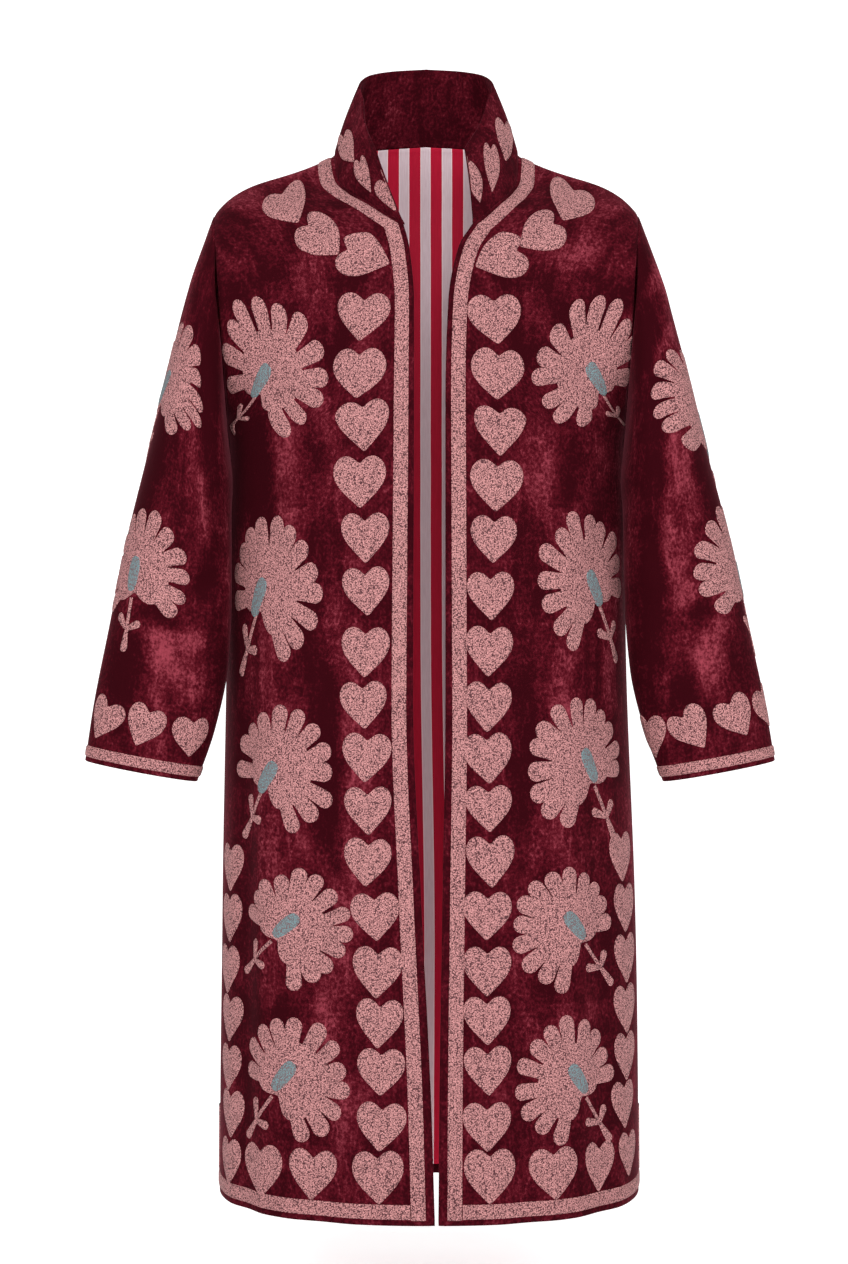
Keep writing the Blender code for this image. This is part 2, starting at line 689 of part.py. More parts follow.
for side_name, side in SIDES:
    wall("border_front_" + side_name, fronts[side], on_front_border,
         BORDER_TOP, BORDER_LIFT, THREAD)
wall("border_back_hem", back, on_back_hem, BORDER_TOP, BORDER_LIFT, THREAD)
wall("border_back_neck", back, on_back_neck, BORDER_TOP, BORDER_LIFT, THREAD)
cuff_row = len(sleeve_shares()) - 3
for side_name, side in SIDES:
    wall("border_cuff_" + side_name, sleeves[side], lambda place: place[0] == cuff_row,
         BORDER_TOP, BORDER_LIFT, THREAD)
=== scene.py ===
# Long open-front duster coat of burgundy velvet with chain-stitch embroidery, filled out as worn.
# Metres. Z is up, the front faces -Y, and left and right are the wearer's own.
import math

import bpy
import numpy as np
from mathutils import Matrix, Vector
from mathutils.bvhtree import BVHTree


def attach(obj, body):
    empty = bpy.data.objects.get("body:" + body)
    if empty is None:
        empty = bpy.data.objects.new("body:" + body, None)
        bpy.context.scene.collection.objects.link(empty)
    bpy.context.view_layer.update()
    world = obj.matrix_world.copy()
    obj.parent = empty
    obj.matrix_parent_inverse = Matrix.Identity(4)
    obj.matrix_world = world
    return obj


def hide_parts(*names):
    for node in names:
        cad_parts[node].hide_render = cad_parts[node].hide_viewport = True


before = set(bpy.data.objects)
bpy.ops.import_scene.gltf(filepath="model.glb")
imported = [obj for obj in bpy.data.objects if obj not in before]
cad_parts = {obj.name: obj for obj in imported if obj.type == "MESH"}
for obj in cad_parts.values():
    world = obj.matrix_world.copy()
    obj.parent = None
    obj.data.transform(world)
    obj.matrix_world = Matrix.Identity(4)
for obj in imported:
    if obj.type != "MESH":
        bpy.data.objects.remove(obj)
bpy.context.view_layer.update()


# Fronts
# Each front is one length of cotton velvet from the shoulder seam to the hem, with its neck,
# armhole and side cut to shape. It is sewn to the back at shoulder and side, with a vent below,
# and its cut edges are turned in over the lining.
HEM_Z = -1.114
UNDERARM_Z = -0.290
SHOULDER_Z = -0.062
HEM_FRONT_DROP = 0.0020
HEM_SIDE_RISE = 0.0050
MIDDLE_X_TOP = -0.0030
MIDDLE_X_HEM = 0.0002
FRONT_ROUND = 2.35
BACK_ROUND = 2.30
ARMHOLE_TURN = math.radians(42.0)
SHOULDER_X = 0.2300
UNDERARM_X = 0.2160
UNDERARM_Y = 0.010
ARMHOLE_FRONT = 0.074
ARMHOLE_BACK = 0.078
ARMHOLE_BOW = 0.0050
SHOULDER_ROUND = 0.040
SHOULDER_STATION = 5.0
FRONT_NECK_SHARE = 0.595
SEAM_SKEW = 0.0124
VELVET_THICK = 0.0020
SEAM_DIP = 0.0011
SEAM_REACH = 0.0035
CELL = 0.005
MIDDLE_LEANS_FROM = -0.50
MIDDLE_LEANS_OVER = 0.40
SKIRT_FOLD_OPENS = 0.45
HEM_SHAPE_REACH = 0.25
ARMHOLE_TURN_BY = 0.45
SHOULDER_ROUND_FROM = 0.55
ROW_POINTS = 321

# Half width, side seam depth and centre back depth of the body, by height
BODY_COLUMNS = ("z", "half_width", "side_y", "back_y")
BODY_TABLE = (
    (-1.114, 0.2268, 0.018, 0.100),
    (-1.000, 0.2262, 0.019, 0.100),
    (-0.800, 0.2235, 0.020, 0.102),
    (-0.550, 0.2168, 0.020, 0.106),
    (-0.400, 0.2146, 0.019, 0.110),
    (-0.330, 0.2122, 0.016, 0.112),
    (-0.305, 0.2128, 0.013, 0.112),
    (-0.290, 0.2160, 0.010, 0.112),
    (-0.160, 0.2160, 0.000, 0.110),
    (-0.060, 0.2160, 0.000, 0.099),
    (0.0285, 0.2160, 0.000, 0.076),
)

# Front edges, by height
EDGE_COLUMNS = ("z", "right_x", "left_x", "y")
EDGE_TABLE = (
    (-1.120, 0.0052, 0.0100, -0.155),
    (-0.988, 0.0010, 0.0112, -0.153),
    (-0.784, -0.0092, 0.0143, -0.148),
    (-0.580, -0.0174, 0.0174, -0.142),
    (-0.271, -0.0165, 0.0175, -0.130),
    (-0.166, -0.0166, 0.0207, -0.115),
    (-0.107, -0.0219, 0.0320, -0.1000),
    (-0.082, -0.0282, 0.0470, -0.0930),
)

# Neck seam and collar top, from the front end (0) over the shoulder (5) to centre back (8)
COLLAR_COLUMNS = ("station", "seam_x", "seam_y", "seam_z", "top_x", "top_y", "top_z")
COLLAR_TABLE = (
    (0.0, 0.0376, -0.093, -0.0820, 0.0492, -0.055, 0.0030),
    (1.0, 0.0497, -0.085, -0.0730, 0.0547, -0.045, 0.0150),
    (2.0, 0.0669, -0.070, -0.0580, 0.0608, -0.034, 0.0290),
    (3.0, 0.0838, -0.050, -0.0437, 0.0662, -0.020, 0.0490),
    (4.0, 0.0960, -0.028, -0.0255, 0.0690, -0.004, 0.0660),
    (5.0, 0.1000, 0.000, 0.0050, 0.0735, 0.015, 0.0830),
    (6.0, 0.0880, 0.040, 0.0160, 0.0665, 0.045, 0.0990),
    (7.0, 0.0500, 0.068, 0.0250, 0.0407, 0.070, 0.1092),
    (8.0, 0.0000, 0.076, 0.0285, 0.0000, 0.080, 0.1137),
)

# Large folds of the skirt: face, side, share across the panel, half width, depth, height where
# it starts
FOLD_TABLE = (
    ("front", -1, 0.36, 0.12, 0.0035, -0.55),
    ("front", -1, 0.66, 0.10, 0.0045, -0.42),
    ("front", 1, 0.30, 0.11, 0.0030, -0.62),
    ("front", 1, 0.58, 0.12, 0.0045, -0.45),
    ("back", -1, 0.22, 0.13, 0.0060, -0.45),
    ("back", -1, 0.64, 0.12, 0.0050, -0.60),
    ("back", 1, 0.30, 0.12, 0.0055, -0.52),
    ("back", 1, 0.70, 0.11, 0.0050, -0.38),
)

# Soft creases of the fronts, as seen from the front: x and z of one end and of the other,
# half width, depth
FRONT_CREASES = (
    (-0.205, -0.150, -0.120, -0.330, 0.016, 0.0024),
    (-0.196, -0.230, -0.150, -0.480, 0.014, 0.0018),
    (-0.105, -0.420, -0.112, -0.880, 0.017, 0.0024),
    (-0.190, -0.480, -0.196, -0.960, 0.015, 0.0020),
    (-0.125, -0.900, -0.098, -1.060, 0.013, 0.0014),
    (-0.060, -0.120, -0.105, -0.250, 0.013, 0.0016),
    (0.208, -0.140, 0.128, -0.300, 0.015, 0.0022),
    (0.200, -0.250, 0.165, -0.520, 0.015, 0.0020),
    (0.112, -0.380, 0.104, -0.820, 0.018, 0.0026),
    (0.196, -0.560, 0.203, -1.020, 0.014, 0.0018),
    (0.118, -0.860, 0.092, -1.050, 0.013, 0.0016),
    (0.066, -0.125, 0.110, -0.235, 0.012, 0.0014),
)

# Patches of painted highlight (above 0) and painted shade (below 0) in the pile's colour,
# as seen from the front: x, z, half width, half height, lean, strength
FRONT_PAINTED_SHEEN = (
    (-0.205, -0.045, 0.035, 0.018, 0.3, 0.8),
    (-0.150, -0.010, 0.060, 0.022, 0.0, 0.9),
    (-0.125, -0.132, 0.022, 0.030, 0.0, 0.9),
    (-0.140, -0.310, 0.016, 0.070, 0.1, 0.9),
    (-0.104, -0.520, 0.014, 0.080, 0.0, 0.7),
    (-0.116, -0.750, 0.018, 0.050, -0.5, 1.0),
    (-0.112, -0.900, 0.014, 0.050, 0.2, 0.8),
    (-0.096, -1.010, 0.012, 0.050, 0.0, 0.8),
    (-0.150, -1.055, 0.040, 0.012, 0.0, 0.5),
    (-0.186, -0.560, 0.014, 0.070, 0.0, 0.7),
    (-0.196, -0.730, 0.012, 0.060, 0.0, 0.6),
    (-0.190, -0.340, 0.026, 0.050, 0.0, -0.9),
    (-0.160, -0.130, 0.040, 0.030, 0.0, -0.5),
    (-0.125, -0.450, 0.014, 0.090, 0.0, -0.6),
    (-0.105, -0.640, 0.012, 0.080, 0.0, -0.7),
    (-0.165, -0.910, 0.040, 0.014, 0.0, -0.8),
    (0.150, -0.112, 0.032, 0.022, 0.4, 0.9),
    (0.160, -0.012, 0.060, 0.022, 0.0, 0.9),
    (0.205, -0.060, 0.024, 0.022, -0.3, 0.7),
    (0.120, -0.330, 0.016, 0.070, 0.1, 0.9),
    (0.185, -0.330, 0.018, 0.050, 0.1, 0.8),
    (0.112, -0.560, 0.014, 0.070, 0.0, 0.8),
    (0.192, -0.560, 0.014, 0.080, 0.0, 0.8),
    (0.104, -0.740, 0.016, 0.060, 0.3, 0.9),
    (0.196, -0.730, 0.014, 0.050, 0.0, 0.9),
    (0.104, -0.930, 0.014, 0.060, 0.0, 0.7),
    (0.160, -0.905, 0.030, 0.012, 0.0, 0.5),
    (0.120, -0.160, 0.022, 0.030, 0.0, -0.6),
    (0.150, -0.330, 0.014, 0.050, 0.0, -0.7),
    (0.120, -0.640, 0.016, 0.050, 0.0, -0.8),
    (0.165, -0.545, 0.016, 0.030, 0.0, -0.6),
    (0.120, -0.860, 0.018, 0.040, 0.0, -0.7),
)


def ease(share):
    share = np.clip(share, 0.0, 1.0)
    return share * share * (3.0 - 2.0 * share)


def through(known, values, wanted):
    """Smooth curve through table values that never runs past them."""
    step = np.diff(known)
    slope = np.diff(values) / step
    lean = np.zeros(len(values))
    for i in range(1, len(values) - 1):
        if slope[i - 1] * slope[i] > 0.0:
            near = 2.0 * step[i] + step[i - 1]
            far = step[i] + 2.0 * step[i - 1]
            lean[i] = (near + far) / (near / slope[i - 1] + far / slope[i])
    lean[0] = slope[0]
    lean[-1] = slope[-1]
    wanted = np.clip(wanted, known[0], known[-1])
    i = np.clip(np.searchsorted(known, wanted) - 1, 0, len(known) - 2)
    t = (wanted - known[i]) / step[i]
    rise = 3.0 * t * t - 2.0 * t * t * t
    start = (t - 2.0 * t * t + t * t * t) * step[i] * lean[i]
    end = (t * t * t - t * t) * step[i] * lean[i + 1]
    return values[i] * (1.0 - rise) + values[i + 1] * rise + start + end


def from_table(table, names, name, wanted):
    """Size from a table, at a value of the table's first column."""
    known = np.array([row[0] for row in table], dtype=float)
    values = np.array([row[names.index(name)] for row in table], dtype=float)
    return through(known, values, wanted)


def body_size(name, z):
    return from_table(BODY_TABLE, BODY_COLUMNS, name, z)


def edge_size(name, z):
    return from_table(EDGE_TABLE, EDGE_COLUMNS, name, z)


def collar_size(name, station):
    return from_table(COLLAR_TABLE, COLLAR_COLUMNS, name, station)


def middle_x(z):
    share = ease((MIDDLE_LEANS_FROM - z) / MIDDLE_LEANS_OVER)
    return MIDDLE_X_TOP + (MIDDLE_X_HEM - MIDDLE_X_TOP) * share


def neck_seam(side, station):
    skew = SEAM_SKEW * (1.0 - ease(station / SHOULDER_STATION))
    x = MIDDLE_X_TOP + side * collar_size("seam_x", station) + skew
    return np.array([x, collar_size("seam_y", station), collar_size("seam_z", station)])


def armhole(front, side, share):
    """Points of the armhole, from the underarm (0) to the shoulder (1)."""
    turn = math.pi * np.asarray(share, dtype=float)
    up = 0.5 - 0.5 * np.cos(turn)
    half = UNDERARM_X + (SHOULDER_X - UNDERARM_X) * up - ARMHOLE_BOW * np.sin(turn)
    deep = np.where(front, -ARMHOLE_FRONT, ARMHOLE_BACK)
    y = UNDERARM_Y * (1.0 - up) + deep * np.sin(turn)
    z = UNDERARM_Z + (SHOULDER_Z - UNDERARM_Z) * up
    return np.stack([MIDDLE_X_TOP + side * half, y, z], axis=-1)


def shoulder_bulge(share):
    return share ** 2 - share ** 5


def fold_depth(face, side, share, z):
    total = np.zeros_like(share)
    for fold_face, fold_side, middle, half, depth, start in FOLD_TABLE:
        if fold_face == face and fold_side == side:
            across = np.clip(np.abs(share - middle) / half, 0.0, 1.0)
            opened = ease((start - z) / SKIRT_FOLD_OPENS)
            total += depth * opened * (0.5 + 0.5 * np.cos(math.pi * across))
    return total


def run_along(line):
    """Distance from the start of a line of points to each of them."""
    return np.concatenate(([0.0], np.cumsum(np.linalg.norm(np.diff(line, axis=0), axis=1))))


def along_line(line, count):
    """The same line, with a number of points at even distances."""
    along = run_along(line)
    even = np.linspace(0.0, along[-1], count)
    return np.stack([np.interp(even, along, line[:, k]) for k in range(3)], axis=1)


def body_row(face, side, inner, outer, turn, bulge, skirt_z, count):
    """Line of points across a front or a half of the back, from its inner to its outer edge."""
    power = 2.0 / (FRONT_ROUND if face == "front" else BACK_ROUND)
    centre = middle_x(outer[2])
    end_c = math.cos(turn) ** power
    end_s = math.sin(turn) ** power
    reach = (outer[0] - centre) / end_c
    start_c = (inner[0] - centre) / reach
    start = math.acos(math.copysign(abs(start_c) ** (1.0 / power), start_c))
    start_s = abs(math.sin(start)) ** power
    held = (1.0 - start_s) / (1.0 - end_s)
    crown = (inner[1] - outer[1] * held) / (1.0 - held)
    angle = np.linspace(start, turn, ROW_POINTS)
    cosine = np.cos(angle)
    x = centre + reach * np.sign(cosine) * np.abs(cosine) ** power
    y = crown + (outer[1] - crown) * (1.0 - np.abs(np.sin(angle)) ** power) / (1.0 - end_s)
    plan = run_along(np.stack([x, y], axis=1))
    share = plan / plan[-1]
    z = inner[2] + (outer[2] - inner[2]) * share + bulge * shoulder_bulge(share)
    if skirt_z is not None:
        near_hem = 1.0 - ease((skirt_z - HEM_Z) / HEM_SHAPE_REACH)
        drop = -HEM_FRONT_DROP if face == "front" else 0.0
        z = z + near_hem * (drop * (1.0 - ease(share)) + HEM_SIDE_RISE * share ** 4)
        dx = np.gradient(x)
        dy = np.gradient(y)
        size = np.hypot(dx, dy)
        out = 1.0 if face == "front" else -1.0
        sink = fold_depth(face, side, share, skirt_z)
        x = x + side * out * sink * -dy / size
        y = y + side * out * sink * dx / size
    return along_line(np.stack([x, y, z], axis=1), count)


SKIRT_LEVELS = np.linspace(HEM_Z, UNDERARM_Z, 166)
CHEST_ROWS = 42
NECK_ROWS = 36
FRONT_ACROSS = 56


def front_grid(side):
    edge_name = "right_x" if side < 0 else "left_x"
    grid = []
    for z in SKIRT_LEVELS:
        inner = np.array([edge_size(edge_name, z), edge_size("y", z), z])
        outer = np.array([middle_x(z) + side * body_size("half_width", z), body_size("side_y", z), z])
        grid.append(body_row("front", side, inner, outer, 0.0, 0.0, z, FRONT_ACROSS))
    neck_z = neck_seam(side, 0.0)[2]
    for k in range(1, CHEST_ROWS + NECK_ROWS + 1):
        if k <= CHEST_ROWS:
            share = FRONT_NECK_SHARE * k / CHEST_ROWS
            z = UNDERARM_Z + (neck_z - UNDERARM_Z) * k / CHEST_ROWS
            inner = np.array([edge_size(edge_name, z), edge_size("y", z), z])
        else:
            along = (k - CHEST_ROWS) / NECK_ROWS
            share = FRONT_NECK_SHARE + (1.0 - FRONT_NECK_SHARE) * along
            inner = neck_seam(side, SHOULDER_STATION * along)
        outer = armhole(True, side, share)
        turn = ARMHOLE_TURN * ease(share / ARMHOLE_TURN_BY)
        bulge = SHOULDER_ROUND * ease((share - SHOULDER_ROUND_FROM) / (1.0 - SHOULDER_ROUND_FROM))
        grid.append(body_row("front", side, inner, outer, turn, bulge, None, FRONT_ACROSS))
    return np.array(grid)


def steps_between(grid, axis, closed):
    """Distances from each point to the next along one direction of a grid of points."""
    if closed:
        return np.linalg.norm(np.roll(grid, -1, axis=axis) - grid, axis=2)
    return np.linalg.norm(np.diff(grid, axis=axis), axis=2)


def distances(grid, axis, closed=False):
    """Distance of each point of a grid from the start of its line, along the line."""
    return np.cumsum(np.insert(steps_between(grid, axis, closed), 0, 0.0, axis=axis), axis=axis)


def square_to(grid, closed, inside):
    """Directions square to the cloth, pointing away from the inside of the coat."""
    up = np.gradient(grid, axis=0)
    if closed:
        wide = np.concatenate([grid[:, -1:], grid, grid[:, :1]], axis=1)
        across = np.gradient(wide, axis=1)[:, 1:-1]
    else:
        across = np.gradient(grid, axis=1)
    normal = np.cross(across, up)
    normal /= np.maximum(np.linalg.norm(normal, axis=2), 1.0e-9)[:, :, None]
    middle = normal[len(grid) // 2, len(grid[0]) // 3]
    if np.dot(middle, grid[len(grid) // 2, len(grid[0]) // 3] - inside) < 0.0:
        normal = -normal
    return normal


def seam_sink(grid, seams, closed):
    """How far the cloth is drawn in beside its seams."""
    sink = np.zeros(grid.shape[:2])
    up = distances(grid, 0)
    ways = {"low": up, "high": up[-1:] - up}
    if not closed:
        across = distances(grid, 1)
        ways["first"] = across
        ways["last"] = across[:, -1:] - across
    for seam in seams:
        sink += np.exp(-(ways[seam] / SEAM_REACH) ** 2)
    return SEAM_DIP * np.minimum(sink, 1.0)


# Section of a crease: a trough with a lower ridge beside it, in half widths and against its depth
FACING_SHARPNESS = 2.5
FULL_CREASE = 0.0022
RIDGE_AWAY = 1.7
RIDGE_WIDE = 1.1
RIDGE_HEIGHT = 0.75
# Painted highlight on a crease's ridge and painted shade in its trough, weighed against the crease's
# depth
RIDGE_PAINTED_LIGHT = 0.8
TROUGH_PAINTED_SHADE = 0.7


def facing_share(normal, facing):
    """How far each point faces the side from which the creases and the painted highlight and shade are
    drawn.
    """
    return ease(normal[:, :, 1] * facing * FACING_SHARPNESS)


def crease_height(grid, normal, creases, facing):
    """Height of the soft creases at each point, and the painted highlight on their ridges and painted
    shade in their troughs.
    """
    height = np.zeros(grid.shape[:2])
    shine = np.zeros(grid.shape[:2])
    toward = facing_share(normal, facing)
    for x_from, z_from, x_to, z_to, half_width, depth in creases:
        start = np.array([x_from, z_from])
        run = np.array([x_to - x_from, z_to - z_from])
        place = grid[:, :, [0, 2]] - start
        share = np.clip((place @ run) / (run @ run), 0.0, 1.0)
        gap = place - share[:, :, None] * run
        beside = (run[0] * gap[:, :, 1] - run[1] * gap[:, :, 0]) / np.linalg.norm(run)
        away = np.hypot(gap[:, :, 0], gap[:, :, 1])
        beside = np.where(np.abs(beside) > 0.7 * away, beside, away)
        fade = np.sin(math.pi * (0.06 + 0.88 * share)) ** 0.8
        trough = np.exp(-(away / half_width) ** 2)
        ridge = np.exp(-((beside - RIDGE_AWAY * half_width) / (RIDGE_WIDE * half_width)) ** 2)
        height += depth * fade * toward * (RIDGE_HEIGHT * ridge - trough)
        painted_crease_light = RIDGE_PAINTED_LIGHT * ridge - TROUGH_PAINTED_SHADE * trough
        shine += fade * toward * painted_crease_light * min(1.0, depth / FULL_CREASE)
    return height, shine


def painted_sheen_patches(grid, normal, patches, facing):
    """Painted highlight (above 0) or painted shade (below 0) at each point, from soft patches."""
    light = np.zeros(grid.shape[:2])
    toward = facing_share(normal, facing)
    for x, z, half_x, half_z, lean, strength in patches:
        up = grid[:, :, 2] - z
        across = grid[:, :, 0] - x - lean * up
        light += strength * toward * np.exp(-(across / half_x) ** 2 - (up / half_z) ** 2)
    return light


ROLLED_EDGE_SHARE = 0.42


def placed(name, data):
    """New object in the scene."""
    thing = bpy.data.objects.new(name, data)
    bpy.context.scene.collection.objects.link(thing)
    return thing


def make_shell(name, grid, inside, closed, thick, seams, creases, sheen_patch_table, facing):
    """Cloth with two faces and rolled edges. Gives the object and the sizes of its outer face."""
    normal = square_to(grid, closed, inside)
    # shine holds painted highlight (above 0) and painted shade (below 0) from the creases and patches,
    # put into the base colour
    height, shine = crease_height(grid, normal, creases, facing)
    shine = shine + painted_sheen_patches(grid, normal, sheen_patch_table, facing)
    height = height - seam_sink(grid, seams, closed)
    outer = grid + normal * height[:, :, None]
    normal = square_to(outer, closed, inside)
    rows, columns = outer.shape[:2]
    up = distances(outer, 0)
    across = distances(outer, 1, closed)
    across = across - across[:, -1:] * 0.5
    points = [outer.reshape(-1, 3), (outer - normal * thick).reshape(-1, 3)]
    count = rows * columns
    faces = []
    places = []
    quads = []
    last = columns if closed else columns - 1
    corner = outer[rows // 2, 1] - outer[rows // 2, 0]
    rise = outer[rows // 2 + 1, 0] - outer[rows // 2, 0]
    flip = np.dot(np.cross(corner, rise), normal[rows // 2, 0]) < 0.0
    for i in range(rows - 1):
        for j in range(last):
            k = (j + 1) % columns
            quad = [(i, j, j), (i, k, j + 1), (i + 1, k, j + 1), (i + 1, j, j)]
            quads.append([r * columns + c for r, c, w in quad])
            if flip:
                quad = quad[::-1]
            faces.append([r * columns + c for r, c, w in quad])
            places.append([(r, w) for r, c, w in quad])
            faces.append([r * columns + c + count for r, c, w in quad[::-1]])
            places.append([(r, w) for r, c, w in quad[::-1]])
    # Rolled edges: a ring of points half way through the cloth and a little further out
    if closed:
        loops = [[(0, j) for j in range(columns)], [(rows - 1, j) for j in range(columns)][::-1]]
    else:
        loops = [[(0, j) for j in range(columns - 1)] + [(i, columns - 1) for i in range(rows - 1)]
                 + [(rows - 1, j) for j in range(columns - 1, 0, -1)]
                 + [(i, 0) for i in range(rows - 1, 0, -1)]]
    start = 2 * count
    for loop in loops:
        ring = []
        for i, j in loop:
            out = np.zeros(3)
            if i == 0:
                out += outer[0, j] - outer[1, j]
            if i == rows - 1:
                out += outer[-1, j] - outer[-2, j]
            if not closed and j == 0:
                out += outer[i, 0] - outer[i, 1]
            if not closed and j == columns - 1:
                out += outer[i, -1] - outer[i, -2]
            out /= np.linalg.norm(out)
            ring.append(outer[i, j] - normal[i, j] * 0.5 * thick + out * ROLLED_EDGE_SHARE * thick)
        points.append(np.array(ring))
        size = len(loop)
        for n in range(size):
            m = (n + 1) % size
            a = loop[n][0] * columns + loop[n][1]
            b = loop[m][0] * columns + loop[m][1]
            spots = [loop[m], loop[n], loop[n], loop[m]]
            for face in ([b, a, start + n, start + m], [start + m, start + n, a + count, b + count]):
                faces.append(face[::-1] if flip else face)
                places.append(spots[::-1] if flip else spots)
        start += size
    mesh = bpy.data.meshes.new(name)
    points = np.concatenate(points)
    mesh.from_pydata(points.tolist(), [], faces)
    layer = mesh.uv_layers.new(name="cloth")
    at_row, at_column = np.array([spot for spots in places for spot in spots]).T
    spread = np.hstack([up, up[:, :1]])
    values = np.stack([across[at_row, at_column], spread[at_row, at_column]], axis=1)
    layer.data.foreach_set("uv", values.astype(np.float32).ravel())
    # Each point's painted highlight or painted shade, stored for the velvet's base colour
    painted_sheen = mesh.attributes.new("painted_sheen", "FLOAT", "POINT")
    painted_sheen_values = np.zeros(len(points))
    painted_sheen_values[:count] = shine.ravel()
    painted_sheen.data.foreach_set("value", np.clip(painted_sheen_values, -1.0, 1.0).astype(np.float32))
    mesh.shade_smooth()
    mesh.update()
    tree = BVHTree.FromPolygons(outer.reshape(-1, 3).tolist(), quads)
    return placed(name, mesh), {"grid": outer, "normal": normal, "closed": closed, "tree": tree,
                                "last": last, "length": float(np.mean(up[-1]))}


class Look:
    """A material, with short ways to add nodes to it."""

    def __init__(self, name, rough, shine):
        self.material = bpy.data.materials.new(name)
        self.material.use_nodes = True
        self.shader = self.material.node_tree.nodes["Principled BSDF"]
        self.shader.inputs["Roughness"].default_value = rough
        self.shader.inputs["Specular IOR Level"].default_value = shine

    def give(self, socket, value):
        """A socket gets a number or colour of its own, or what another node gives."""
        if isinstance(value, bpy.types.NodeSocket):
            self.material.node_tree.links.new(value, socket)
        elif isinstance(value, tuple) and len(value) == 3 and socket.type == "RGBA":
            socket.default_value = value + (1.0,)
        else:
            socket.default_value = value

    def node(self, kind, inputs):
        made = self.material.node_tree.nodes.new("ShaderNode" + kind)
        for name, value in inputs.items():
            self.give(made.inputs[name], value)
        return made

    def mixed(self, share, first, second):
        """Colour between two colours, by a value."""
        mix = self.node("Mix", {})
        mix.data_type = "RGBA"
        for number, value in ((0, share), (6, first), (7, second)):
            self.give(mix.inputs[number], value)
        return mix.outputs[2]

    def stepped(self, value, low, high):
        """Value from 0 to 1 as another one goes from low to high."""
        ramp = self.node("MapRange", {"Value": value, "From Min": low, "From Max": high})
        ramp.interpolation_type = "SMOOTHSTEP"
        return ramp.outputs["Result"]

    def sums(self, kind, first, second=0.0):
        step = self.node("Math", {})
        step.operation = kind
        self.give(step.inputs[0], first)
        self.give(step.inputs[1], second)
        return step.outputs[0]

    def away(self, value, middle):
        """How far a value lies from a middle one, on either side."""
        return self.sums("ABSOLUTE", self.sums("SUBTRACT", value, middle))

    def place(self, layer):
        """Flat place on the cloth or the stitching."""
        flat = self.node("UVMap", {})
        flat.uv_map = layer
        return flat.outputs["UV"]

    def noise(self, scale_across, scale_up, detail, rough):
        """Noise that is stretched along the cloth."""
        scale = (scale_across, scale_up, 1.0)
        stretch = self.node("Mapping", {"Vector": self.place("cloth"), "Scale": scale})
        noise = self.node("TexNoise", {"Vector": stretch.outputs["Vector"], "Scale": 1.0,
                                       "Detail": detail, "Roughness": rough})
        return noise.outputs["Fac"]

    def relief(self, height, strength, distance, sunk=False):
        """Fine relief of the surface, raised or sunk where the height is large."""
        bump = self.node("Bump", {"Height": height, "Strength": strength, "Distance": distance})
        bump.invert = sunk
        self.give(self.shader.inputs["Normal"], bump.outputs["Normal"])


# Colours of the pile from dark to light: random tone of the pile moves between them, and painted shade
# and painted highlight push toward the first and the last
VELVET_DARK = (0.0240, 0.0011, 0.0030)
VELVET_MIDDLE = (0.0640, 0.0034, 0.0080)
VELVET_LIGHT = (0.2300, 0.0350, 0.0520)
DARK_TO_MIDDLE = (1.01, 1.32)
MIDDLE_TO_LIGHT = (1.23, 1.68)
VELVET_SHEEN = {"Sheen Weight": 0.10, "Sheen Roughness": 0.35, "Sheen Tint": (0.90, 0.20, 0.28, 1.0)}

# Unevenness of the pile: scale across and up the cloth, detail and roughness of its blotches,
# streaks, grain, cross streaks and crush lines
PILE_NOISES = (
    (24.0, 13.0, 5.0, 0.66),
    (110.0, 26.0, 3.0, 0.60),
    (330.0, 260.0, 2.0, 0.70),
    (26.0, 120.0, 2.0, 0.55),
    (46.0, 26.0, 3.0, 0.55),
)
CRUSH_LINE = (0.040, 0.002)

# How much each counts: blotches, then crush lines, streaks, grain, cross streaks, painted highlight and
# shade
BLOTCH_SHARE = 0.90
OTHER_SHARES = (0.10, 0.34, 0.80, 0.20, 0.26)

velvet = Look("burgundy_velvet", 0.90, 0.02)
for name, value in VELVET_SHEEN.items():
    velvet.give(velvet.shader.inputs[name], value)
blotch, streak, grain, crossing, crush = [velvet.noise(*sizes) for sizes in PILE_NOISES]
crush = velvet.stepped(velvet.away(crush, 0.5), *CRUSH_LINE)
# Painted highlight and painted shade stored per point lighten or darken the pile colour
painted_sheen_node = velvet.node("Attribute", {})
painted_sheen_node.attribute_name = "painted_sheen"
value = velvet.sums("MULTIPLY", blotch, BLOTCH_SHARE)
for part, share in zip((crush, streak, grain, crossing, painted_sheen_node.outputs["Fac"]), OTHER_SHARES):
    value = velvet.sums("ADD", value, velvet.sums("MULTIPLY", part, share))
colour = velvet.mixed(velvet.stepped(value, *DARK_TO_MIDDLE), VELVET_DARK, VELVET_MIDDLE)
colour = velvet.mixed(velvet.stepped(value, *MIDDLE_TO_LIGHT), colour, VELVET_LIGHT)
velvet.give(velvet.shader.inputs["Base Color"], colour)
velvet.relief(grain, 0.35, 0.0006)

INSIDE = np.array([0.0, 0.0, -0.60])
SIDES = (("right", -1), ("left", 1))
panels = {}


def dress(thing, looks, slot, *stands_for):
    """Rides with the coat, in its materials, and shows in place of the solids it stands for."""
    for look in looks:
        thing.data.materials.append(look.material)
    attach(thing, "root")
    if stands_for:
        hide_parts(*stands_for)
    return thing


for side_name, side in SIDES:
    name = "front_" + side_name
    thing, panels[name] = make_shell(name + "_velvet", front_grid(side), INSIDE, False, VELVET_THICK,
                                     ("last", "high"), FRONT_CREASES, FRONT_PAINTED_SHEEN, -1.0)
    dress(thing, [velvet], "velvet", name)


